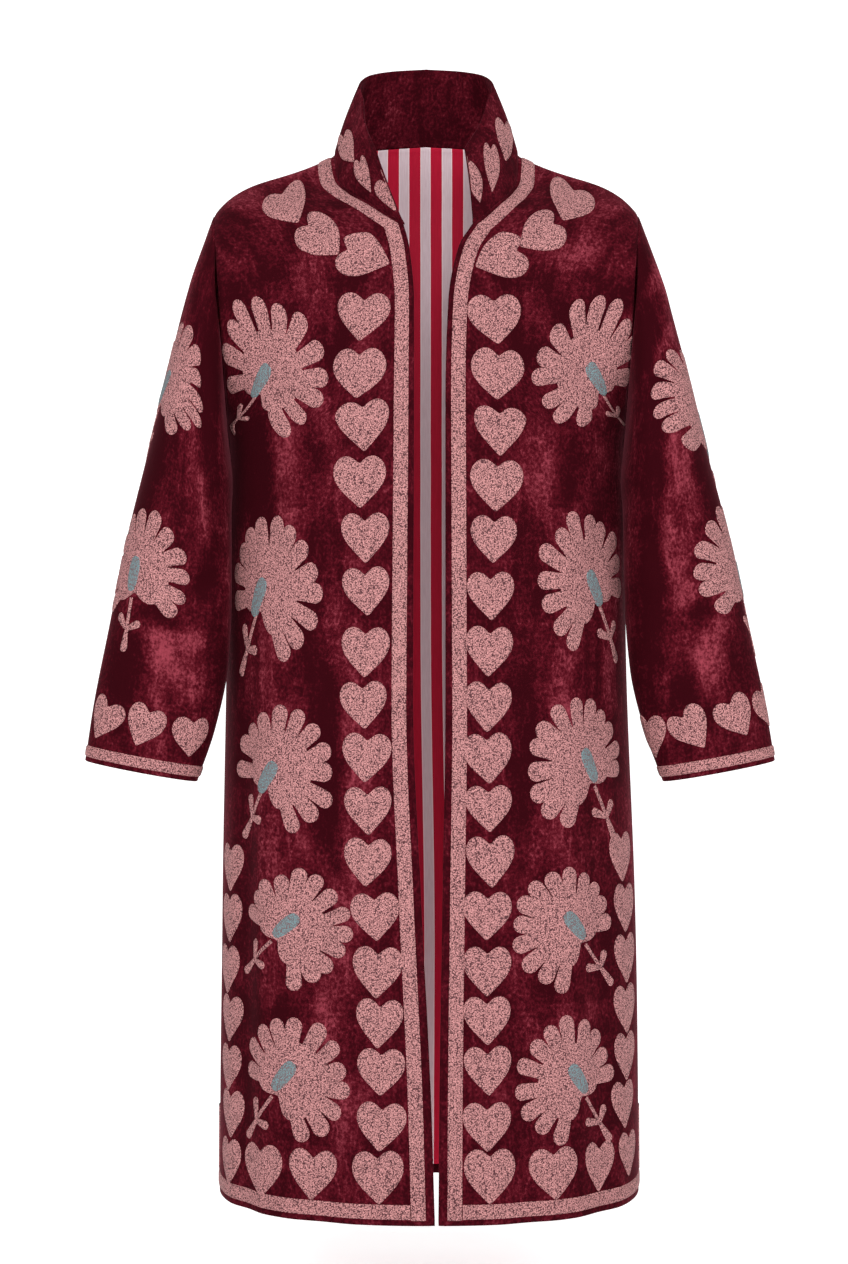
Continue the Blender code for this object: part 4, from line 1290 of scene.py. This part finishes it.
def pad(stitching, spot, outline, centre, height, kind=0):
    """Raised pad inside an outline drawn flat, filled with rings of stitches round its centre."""
    panel, row, column = spot[:3]
    reach = np.mean(np.linalg.norm(outline - centre, axis=1))
    edge = min(0.3, PAD_EDGE / reach)
    factors = [1.0, 1.0 - 0.35 * edge, 1.0 - edge, 1.0 - 2.0 * edge]
    left = factors[-1]
    count = max(2, int(left * reach / RING_STEP))
    factors += [left * (1.0 - k / count) for k in range(1, count)] + [0.02]
    levels = [-PAD_SINK, 0.55 * height, 0.90 * height] + [height] * (len(factors) - 3)
    size = len(outline)
    flats = np.concatenate([centre + (outline - centre) * f for f in factors])
    heights = np.repeat(levels, size)
    steps = np.linalg.norm(np.roll(outline, -1, axis=0) - outline, axis=1)
    run = np.concatenate(([0.0], np.cumsum(steps)[:-1]))
    uvs = np.concatenate([np.stack([run * (0.4 + 0.6 * f), np.full(size, (1.0 - f) * reach)], axis=1)
                          for f in factors])
    uvs = uvs + np.array([0.37 * row, 0.011 * column])
    rows, columns = laid_out(spot, flats)
    normals = on_cloth(panel, rows, columns, "normal")
    points = on_cloth(panel, rows, columns, "grid") + normals * heights[:, None]
    faces = []
    for ring in range(len(factors) - 1):
        for k in range(size):
            m = (k + 1) % size
            faces.append([ring * size + k, ring * size + m, (ring + 1) * size + m, (ring + 1) * size + k])
    faces.append([(len(factors) - 1) * size + k for k in range(size)])
    test = faces[size // 3]
    faces = facing_out(points, faces, test, normals[test[0]])
    stitching.add(points, faces, uvs, kind)


def heart_outline(width, plump):
    """Heart with round lobes and a narrow tip, by formula."""
    t = np.linspace(0.0, 2.0 * math.pi, 49)[:-1]
    x = 10.9 * np.sin(t) ** 3 + 5.6 * np.sin(t)
    y = 13.0 * np.cos(t) - (3.7 + plump) * np.cos(2 * t) - 1.6 * np.cos(3 * t) - 0.6 * np.cos(4 * t)
    return np.stack([x, 1.32 * (y + 2.4)], axis=1) * width / 33.0


# Hearts beside the front edges, as seen from the front: x and z on the right, x and z on the left
HEART_TABLE = (
    (-0.0715, -0.1695, 0.0715, -0.1725),
    (-0.0765, -0.2310, 0.0745, -0.2320),
    (-0.072, -0.285, 0.077, -0.291),
    (-0.075, -0.348, 0.073, -0.352),
    (-0.069, -0.408, 0.070, -0.410),
    (-0.068, -0.466, 0.067, -0.471),
    (-0.069, -0.532, 0.065, -0.531),
    (-0.071, -0.589, 0.064, -0.591),
    (-0.068, -0.646, 0.064, -0.647),
    (-0.066, -0.703, 0.065, -0.701),
    (-0.067, -0.759, 0.067, -0.758),
    (-0.058, -0.818, 0.063, -0.817),
    (-0.056, -0.878, 0.063, -0.877),
    (-0.054, -0.933, 0.063, -0.930),
    (-0.052, -0.986, 0.064, -0.984),
    (-0.052, -1.045, 0.063, -1.045),
)
HEART_WIDE = 0.0508

# Other hearts of the fronts: x, z, turn in degrees, width, stretch upward
RIGHT_HEARTS = (
    (-0.055, -1.100, 2.0, 0.053, 1.0), (-0.126, -1.096, -3.0, 0.053, 0.94),
    (-0.182, -1.092, 2.0, 0.058, 0.92), (-0.216, -1.082, 0.0, 0.046, 1.05),
    (-0.214, -0.764, 0.0, 0.048, 1.0), (-0.215, -0.819, 2.0, 0.048, 1.0),
    (-0.217, -0.874, 0.0, 0.048, 1.0), (-0.215, -0.927, -2.0, 0.048, 1.0),
    (-0.216, -0.980, 0.0, 0.048, 1.0), (-0.214, -1.030, 0.0, 0.046, 1.0),
    (-0.1525, -0.048, 36.0, 0.048, 1.36), (-0.1155, -0.0820, 52.0, 0.048, 0.98),
    (-0.0690, -0.103, 70.0, 0.054, 1.00),
)
LEFT_HEARTS = (
    (0.066, -1.099, 0.0, 0.053, 1.0), (0.136, -1.096, 3.0, 0.055, 0.96),
    (0.1835, -1.087, -2.0, 0.043, 1.10), (0.2155, -1.073, 0.0, 0.042, 1.05),
    (0.208, -0.753, 0.0, 0.048, 1.0), (0.212, -0.808, -2.0, 0.048, 1.0),
    (0.213, -0.862, 0.0, 0.048, 1.0), (0.213, -0.917, 2.0, 0.048, 1.0),
    (0.213, -0.968, 0.0, 0.048, 1.0), (0.211, -1.020, 0.0, 0.046, 1.0),
    (0.1525, -0.0455, -30.0, 0.048, 1.36), (0.1195, -0.079, -57.0, 0.049, 0.98),
    (0.0755, -0.105, -68.0, 0.053, 1.00),
)
TOP_HEARTS = 4
TOP_HEARTS_WIDE = 1.12
LOW_HEARTS_TALL = 0.94
chance = np.random.default_rng(11)


def lay_heart(stitching, names, x, z, turn, width, behind=False, wide=1.0, tall=1.0, aside=0.0, slim=1.0):
    panel, row, column = seen_at(names, x, z, behind)
    outline = heart_outline(width * chance.uniform(0.97, 1.03), chance.uniform(-0.5, 0.5))
    outline = outline * np.array([slim, 1.0])
    tall = tall * chance.uniform(0.96, 1.04)
    pad(stitching, (panel, row, column, turn, wide, tall, aside), outline, np.zeros(2), PAD_HEIGHT)


for side_name, side in SIDES:
    stitching = Stitching()
    names = ["front_" + side_name]
    for number, entry in enumerate(HEART_TABLE):
        x, z = entry[:2] if side < 0 else entry[2:]
        wide = TOP_HEARTS_WIDE if number < TOP_HEARTS else 1.0
        tall = 1.0 if number < TOP_HEARTS else LOW_HEARTS_TALL
        lay_heart(stitching, names, x, z, chance.uniform(-4.0, 4.0), HEART_WIDE, wide=wide, tall=tall)
    for x, z, turn, width, tall in (RIGHT_HEARTS if side < 0 else LEFT_HEARTS):
        lay_heart(stitching, names, x, z, turn, width, tall=tall)
    stitching.finish("hearts_front_" + side_name, [pink_thread])

# Collar hearts stand close together and are narrow: x, z, turn, size, and slimness before the turn
COLLAR_HEARTS = (
    (-0.0890, 0.0115, 43.0, 0.050, 0.56), (-0.0705, -0.0165, 30.0, 0.047, 0.40),
    (-0.0430, -0.0370, 26.0, 0.040, 0.50),
    (0.0825, 0.0200, -24.0, 0.058, 0.52), (0.0680, -0.0090, -14.0, 0.057, 0.34),
    (0.0475, -0.0235, 8.0, 0.049, 0.46),
)
stitching = Stitching()
for x, z, turn, size, slim in COLLAR_HEARTS:
    lay_heart(stitching, ["collar"], x, z, turn, size, slim=slim)
for x in (-0.048, 0.0, 0.048):
    lay_heart(stitching, ["collar"], x, 0.066, 0.0, 0.040, True)
stitching.finish("hearts_collar", [pink_thread])

# Cuff hearts, seen from the front and from behind: x, z, turn, distance round the sleeve from there
CUFF_WIDE = 0.043
CUFF_HEARTS = {
    "right": ((-0.350, -0.604, -28.0, -0.003), (-0.308, -0.612, -24.0, 0.0), (-0.256, -0.624, -3.0, 0.0)),
    "left": ((0.243, -0.623, 0.0, -0.006), (0.283, -0.615, 36.0, 0.0), (0.333, -0.602, 31.0, 0.0),
             (0.356, -0.591, 26.0, 0.016)),
}
CUFF_HEARTS_BEHIND = ((0.268, -0.616, 6.0), (0.318, -0.600, 18.0))
for side_name, side in SIDES:
    name = "sleeve_" + side_name
    stitching = Stitching()
    for x, z, turn, aside in CUFF_HEARTS[side_name]:
        lay_heart(stitching, [name], x, z, turn, CUFF_WIDE, aside=aside)
    for x, z, turn in CUFF_HEARTS_BEHIND:
        lay_heart(stitching, [name], side * x, z, -side * turn, CUFF_WIDE, True)
    stitching.finish("hearts_cuff_" + side_name, [pink_thread])

# Hearts of the back: along the hem, up the sides and by the shoulders, each x, z and turn there
BACK_SHOULDER_HEARTS = ((0.176, -0.086, -28.0), (0.124, -0.066, -36.0), (0.072, -0.050, -44.0))
BACK_HEM_HEARTS = np.linspace(-0.174, 0.174, 7)
BACK_HEM_Z = -1.078
BACK_SIDE_X = 0.212
BACK_SIDE_HEARTS = np.linspace(-0.700, -1.036, 7)
stitching = Stitching()
for x in BACK_HEM_HEARTS:
    lay_heart(stitching, ["back"], x, BACK_HEM_Z, chance.uniform(-4.0, 4.0), 0.050, True)
for side_name, side in SIDES:
    for z in BACK_SIDE_HEARTS:
        lay_heart(stitching, ["back"], side * BACK_SIDE_X, z, 0.0, 0.048, True)
    for x, z, turn in BACK_SHOULDER_HEARTS:
        lay_heart(stitching, ["back"], side * x, z, -side * turn, 0.046, True)
stitching.finish("hearts_back", [pink_thread])


# Flowers
# Fan-shaped flowers in the manner of old needlework: a round body with finger petals, a teal
# drop in the middle, and a thin stem with three small leaves. All of it is filled chain stitch.
FLOWER_REACH = 0.0620
PETAL_COUNT = 12
FAN_HALF = 138.0
BODY_SHARE = 0.59
DROP_LONG = 0.036
DROP_HALF = 0.0076
STEM_SHARE = 0.94
STEM_HALF = 0.0019
LEAF_HALF = 0.0044
PETAL_ROOT = 0.30
DROP_POWER = 0.72
DROP_PLUMP = 0.12
STEM_FOLLOWS_DROP = 0.6

# Heights of the parts, each against a plain pad
PETAL_HEIGHTS = (0.90, 0.98)
BODY_HEIGHT = 1.12
DROP_HEIGHT = 1.75
STEM_HEIGHT = 0.80
LEAF_HEIGHT = 0.95

# Leaves round the foot of the stem: turn in degrees, length
LEAVES = ((-44.0, 0.022), (62.0, 0.018), (180.0, 0.025))


def finger(base, tip, base_half, tip_half, bend):
    """Outline of a petal from its base to its round tip."""
    along = np.linspace(0.0, 1.0, 9)
    half = base_half + (tip_half - base_half) * along ** 0.8
    run = tip - base
    size = np.linalg.norm(run)
    run = run / size
    aside = np.array([-run[1], run[0]])
    stem = size - tip_half
    line = base + run * (along * stem)[:, None] + aside * (bend * np.sin(math.pi * along))[:, None]
    left = line + aside * half[:, None]
    right = (line - aside * half[:, None])[::-1]
    angle = np.linspace(90.0, -90.0, 9)[1:-1]
    cap = line[-1] + np.outer(np.cos(np.radians(angle)), run) * tip_half
    cap = cap + np.outer(np.sin(np.radians(angle)), aside) * tip_half
    return np.concatenate([left, cap, right])


def aim_at(degrees):
    """Direction at an angle from straight up."""
    return np.array([math.sin(math.radians(degrees)), math.cos(math.radians(degrees))])


def lay_flower(stitching, spot, reach, drop_aside, drop_up):
    """Flower with its stem pointing down before it is turned, and a drop beside its middle."""
    count = PETAL_COUNT + int(chance.integers(0, 2))
    for k in range(count):
        share = (k + 0.5) / count
        aim = aim_at(-FAN_HALF + 2.0 * FAN_HALF * share + chance.uniform(-2.5, 2.5))
        base = np.array([0.0, -0.03 * reach]) + aim * PETAL_ROOT * reach
        far = reach * chance.uniform(0.92, 1.04)
        tip_half = reach * chance.uniform(0.128, 0.150)
        outline = finger(base, aim * far, reach * 0.080, tip_half, reach * chance.uniform(-0.02, 0.02))
        pad(stitching, spot, outline, (base + aim * far) * 0.5, PAD_HEIGHT * PETAL_HEIGHTS[k % 2])
    angles = np.radians(np.linspace(-180.0, 180.0, 61)[:-1])
    past_fan = (np.abs(angles) - math.radians(FAN_HALF)) / math.radians(180.0 - FAN_HALF)
    body_reach = BODY_SHARE * reach * (1.0 - 0.45 * ease(past_fan))
    body = np.stack([np.sin(angles), np.cos(angles)], axis=1) * body_reach[:, None]
    pad(stitching, spot, body, np.zeros(2), PAD_HEIGHT * BODY_HEIGHT)
    turn, wide, tall = spot[3:6]
    aside = drop_aside / wide
    up = drop_up / tall
    s, c = aim_at(turn)
    middle = np.array([aside * c + up * s, up * c - aside * s])
    angles = np.linspace(0.0, 2.0 * math.pi, 33)[:-1]
    sine = np.sign(np.sin(angles)) * np.abs(np.sin(angles)) ** DROP_POWER
    cosine = np.sign(np.cos(angles)) * np.abs(np.cos(angles)) ** DROP_POWER
    half = DROP_HALF * sine * (1.0 + DROP_PLUMP * cosine)
    drop = middle + np.stack([half, 0.5 * DROP_LONG * cosine], axis=1)
    pad(stitching, spot, drop, middle, PAD_HEIGHT * DROP_HEIGHT, 1)
    stem_x = STEM_FOLLOWS_DROP * middle[0]
    stem_from = np.array([stem_x, -0.40 * reach])
    stem_to = np.array([stem_x, -STEM_SHARE * reach])
    outline = finger(stem_from, stem_to, STEM_HALF, STEM_HALF, 0.0)
    pad(stitching, spot, outline, (stem_from + stem_to) * 0.5, PAD_HEIGHT * STEM_HEIGHT)
    for turned, long in LEAVES:
        tip = stem_to + aim_at(turned) * long
        outline = finger(stem_to, tip, STEM_HALF, LEAF_HALF, 0.0)
        pad(stitching, spot, outline, (stem_to + tip) * 0.5, PAD_HEIGHT * LEAF_HEIGHT)


# Places seen from the front, turn of the stem from straight down, stretch across and upward,
# distance round the cloth from that place, and the drop's place: sideways and up from the middle
FLOWER_ROWS = {
    "front_right": (
        (-0.170, -0.234, -34.0, 1.02, 1.21, 0.0, -0.013, -0.005),
        (-0.171, -0.465, -30.0, 1.02, 1.30, -0.003, -0.014, -0.007),
        (-0.164, -0.659, -36.0, 1.10, 1.13, 0.0, -0.013, -0.008),
        (-0.149, -0.831, -50.0, 1.08, 1.00, 0.0, -0.006, 0.003),
        (-0.150, -0.995, -41.0, 1.09, 1.12, 0.0, -0.008, 0.004),
    ),
    "front_left": (
        (0.171, -0.233, 37.0, 1.03, 1.18, 0.0, 0.011, -0.004),
        (0.172, -0.456, 31.0, 1.05, 1.22, 0.0, 0.009, -0.006),
        (0.166, -0.6535, 30.0, 1.08, 1.16, 0.0, 0.010, -0.001),
        (0.152, -0.831, 42.0, 1.07, 1.07, 0.0, 0.007, 0.003),
        (0.154, -0.996, 38.0, 1.03, 1.10, 0.0, 0.009, 0.002),
    ),
    "sleeve_right": (
        (-0.279, -0.242, -30.0, 1.00, 1.04, -0.004, -0.010, 0.000),
        (-0.314, -0.446, -10.0, 0.98, 1.08, 0.0, -0.006, -0.001),
    ),
    "sleeve_left": (
        (0.262, -0.250, 30.0, 1.22, 1.04, 0.047, 0.010, -0.004),
        (0.312, -0.440, 12.0, 1.20, 1.10, 0.042, 0.008, -0.003),
    ),
}
for name, rows in FLOWER_ROWS.items():
    stitching = Stitching()
    for x, z, turn, wide, tall, aside, drop_aside, drop_up in rows:
        spot = seen_at([name], x, z) + (turn, wide, tall, aside)
        lay_flower(stitching, spot, FLOWER_REACH, drop_aside, drop_up)
    stitching.finish("flowers_" + name, [pink_thread, teal_thread])

# The back is not shown in the photograph: two columns of the same flowers
BACK_FLOWERS_X = np.linspace(0.108, 0.124, 5)
BACK_FLOWERS_Z = np.linspace(-0.215, -0.975, 5)
BACK_FLOWER_TURN = 34.0
stitching = Stitching()
for side_name, side in SIDES:
    for x, z in zip(BACK_FLOWERS_X, BACK_FLOWERS_Z):
        spot = seen_at(["back"], side * x, z, True) + (-side * BACK_FLOWER_TURN, 1.05, 1.14, 0.0)
        lay_flower(stitching, spot, FLOWER_REACH, -side * 0.009, -0.003)
stitching.finish("flowers_back", [pink_thread, teal_thread])


# Floor, light and camera
# A plain pale floor that sweeps up behind, wide soft lights, and the camera of the photograph.
FLOOR_Z = -1.20
FLOOR_GLOW = 0.50
SWEEP_ROUND = 2.0
white = Look("pale_floor", 0.95, 0.0)
for name, value in (("Base Color", (0.86, 0.86, 0.86)), ("Emission Color", (1.0, 1.0, 1.0)),
                    ("Emission Strength", FLOOR_GLOW)):
    white.give(white.shader.inputs[name], value)
profile = [(-9.0, FLOOR_Z)]
for k in range(13):
    angle = math.radians(90.0 * k / 12.0)
    profile.append((3.0 + SWEEP_ROUND * math.sin(angle), FLOOR_Z + SWEEP_ROUND * (1.0 - math.cos(angle))))
profile.append((5.0, 6.0))
points = [(x, y, z) for y, z in profile for x in (-9.0, 9.0)]
faces = [(2 * k, 2 * k + 1, 2 * k + 3, 2 * k + 2) for k in range(len(profile) - 1)]
mesh = bpy.data.meshes.new("sweep")
mesh.from_pydata(points, [], faces)
mesh.shade_smooth()
mesh.materials.append(white.material)
placed("sweep", mesh)

# Lights: name, place, size and power; all of them face the middle of the coat
LIGHTS = (
    ("front", (0.1, -3.6, 0.25), 0.9, 62.0),
    ("key", (-2.1, -2.8, 1.3), 1.6, 34.0),
    ("fill", (2.4, -2.6, 0.8), 2.0, 26.0),
    ("top", (0.0, -0.6, 2.4), 1.6, 22.0),
)
LIGHTS_FACE = Vector((0.0, 0.0, -0.5))
for name, place, size, power in LIGHTS:
    lamp = bpy.data.lights.new(name, "AREA")
    lamp.shape = "SQUARE"
    lamp.size = size
    lamp.energy = power
    light = placed(name, lamp)
    light.location = place
    aim = LIGHTS_FACE - Vector(place)
    light.rotation_euler = aim.to_track_quat("-Z", "Y").to_euler()

world = bpy.data.worlds.new("studio")
world.use_nodes = True
world.node_tree.nodes["Background"].inputs["Color"].default_value = (1.0, 1.0, 1.0, 1.0)
world.node_tree.nodes["Background"].inputs["Strength"].default_value = 0.55
bpy.context.scene.world = world
bpy.context.scene.view_settings.view_transform = "Standard"

LENS_LONG = 73.8
lens = bpy.data.cameras.new("camera")
lens.lens = LENS_LONG
lens.sensor_width = 36.0
camera = placed("camera", lens)
camera.location = EYE
camera.rotation_euler = (math.radians(90.0), 0.0, 0.0)
bpy.context.scene.camera = camera
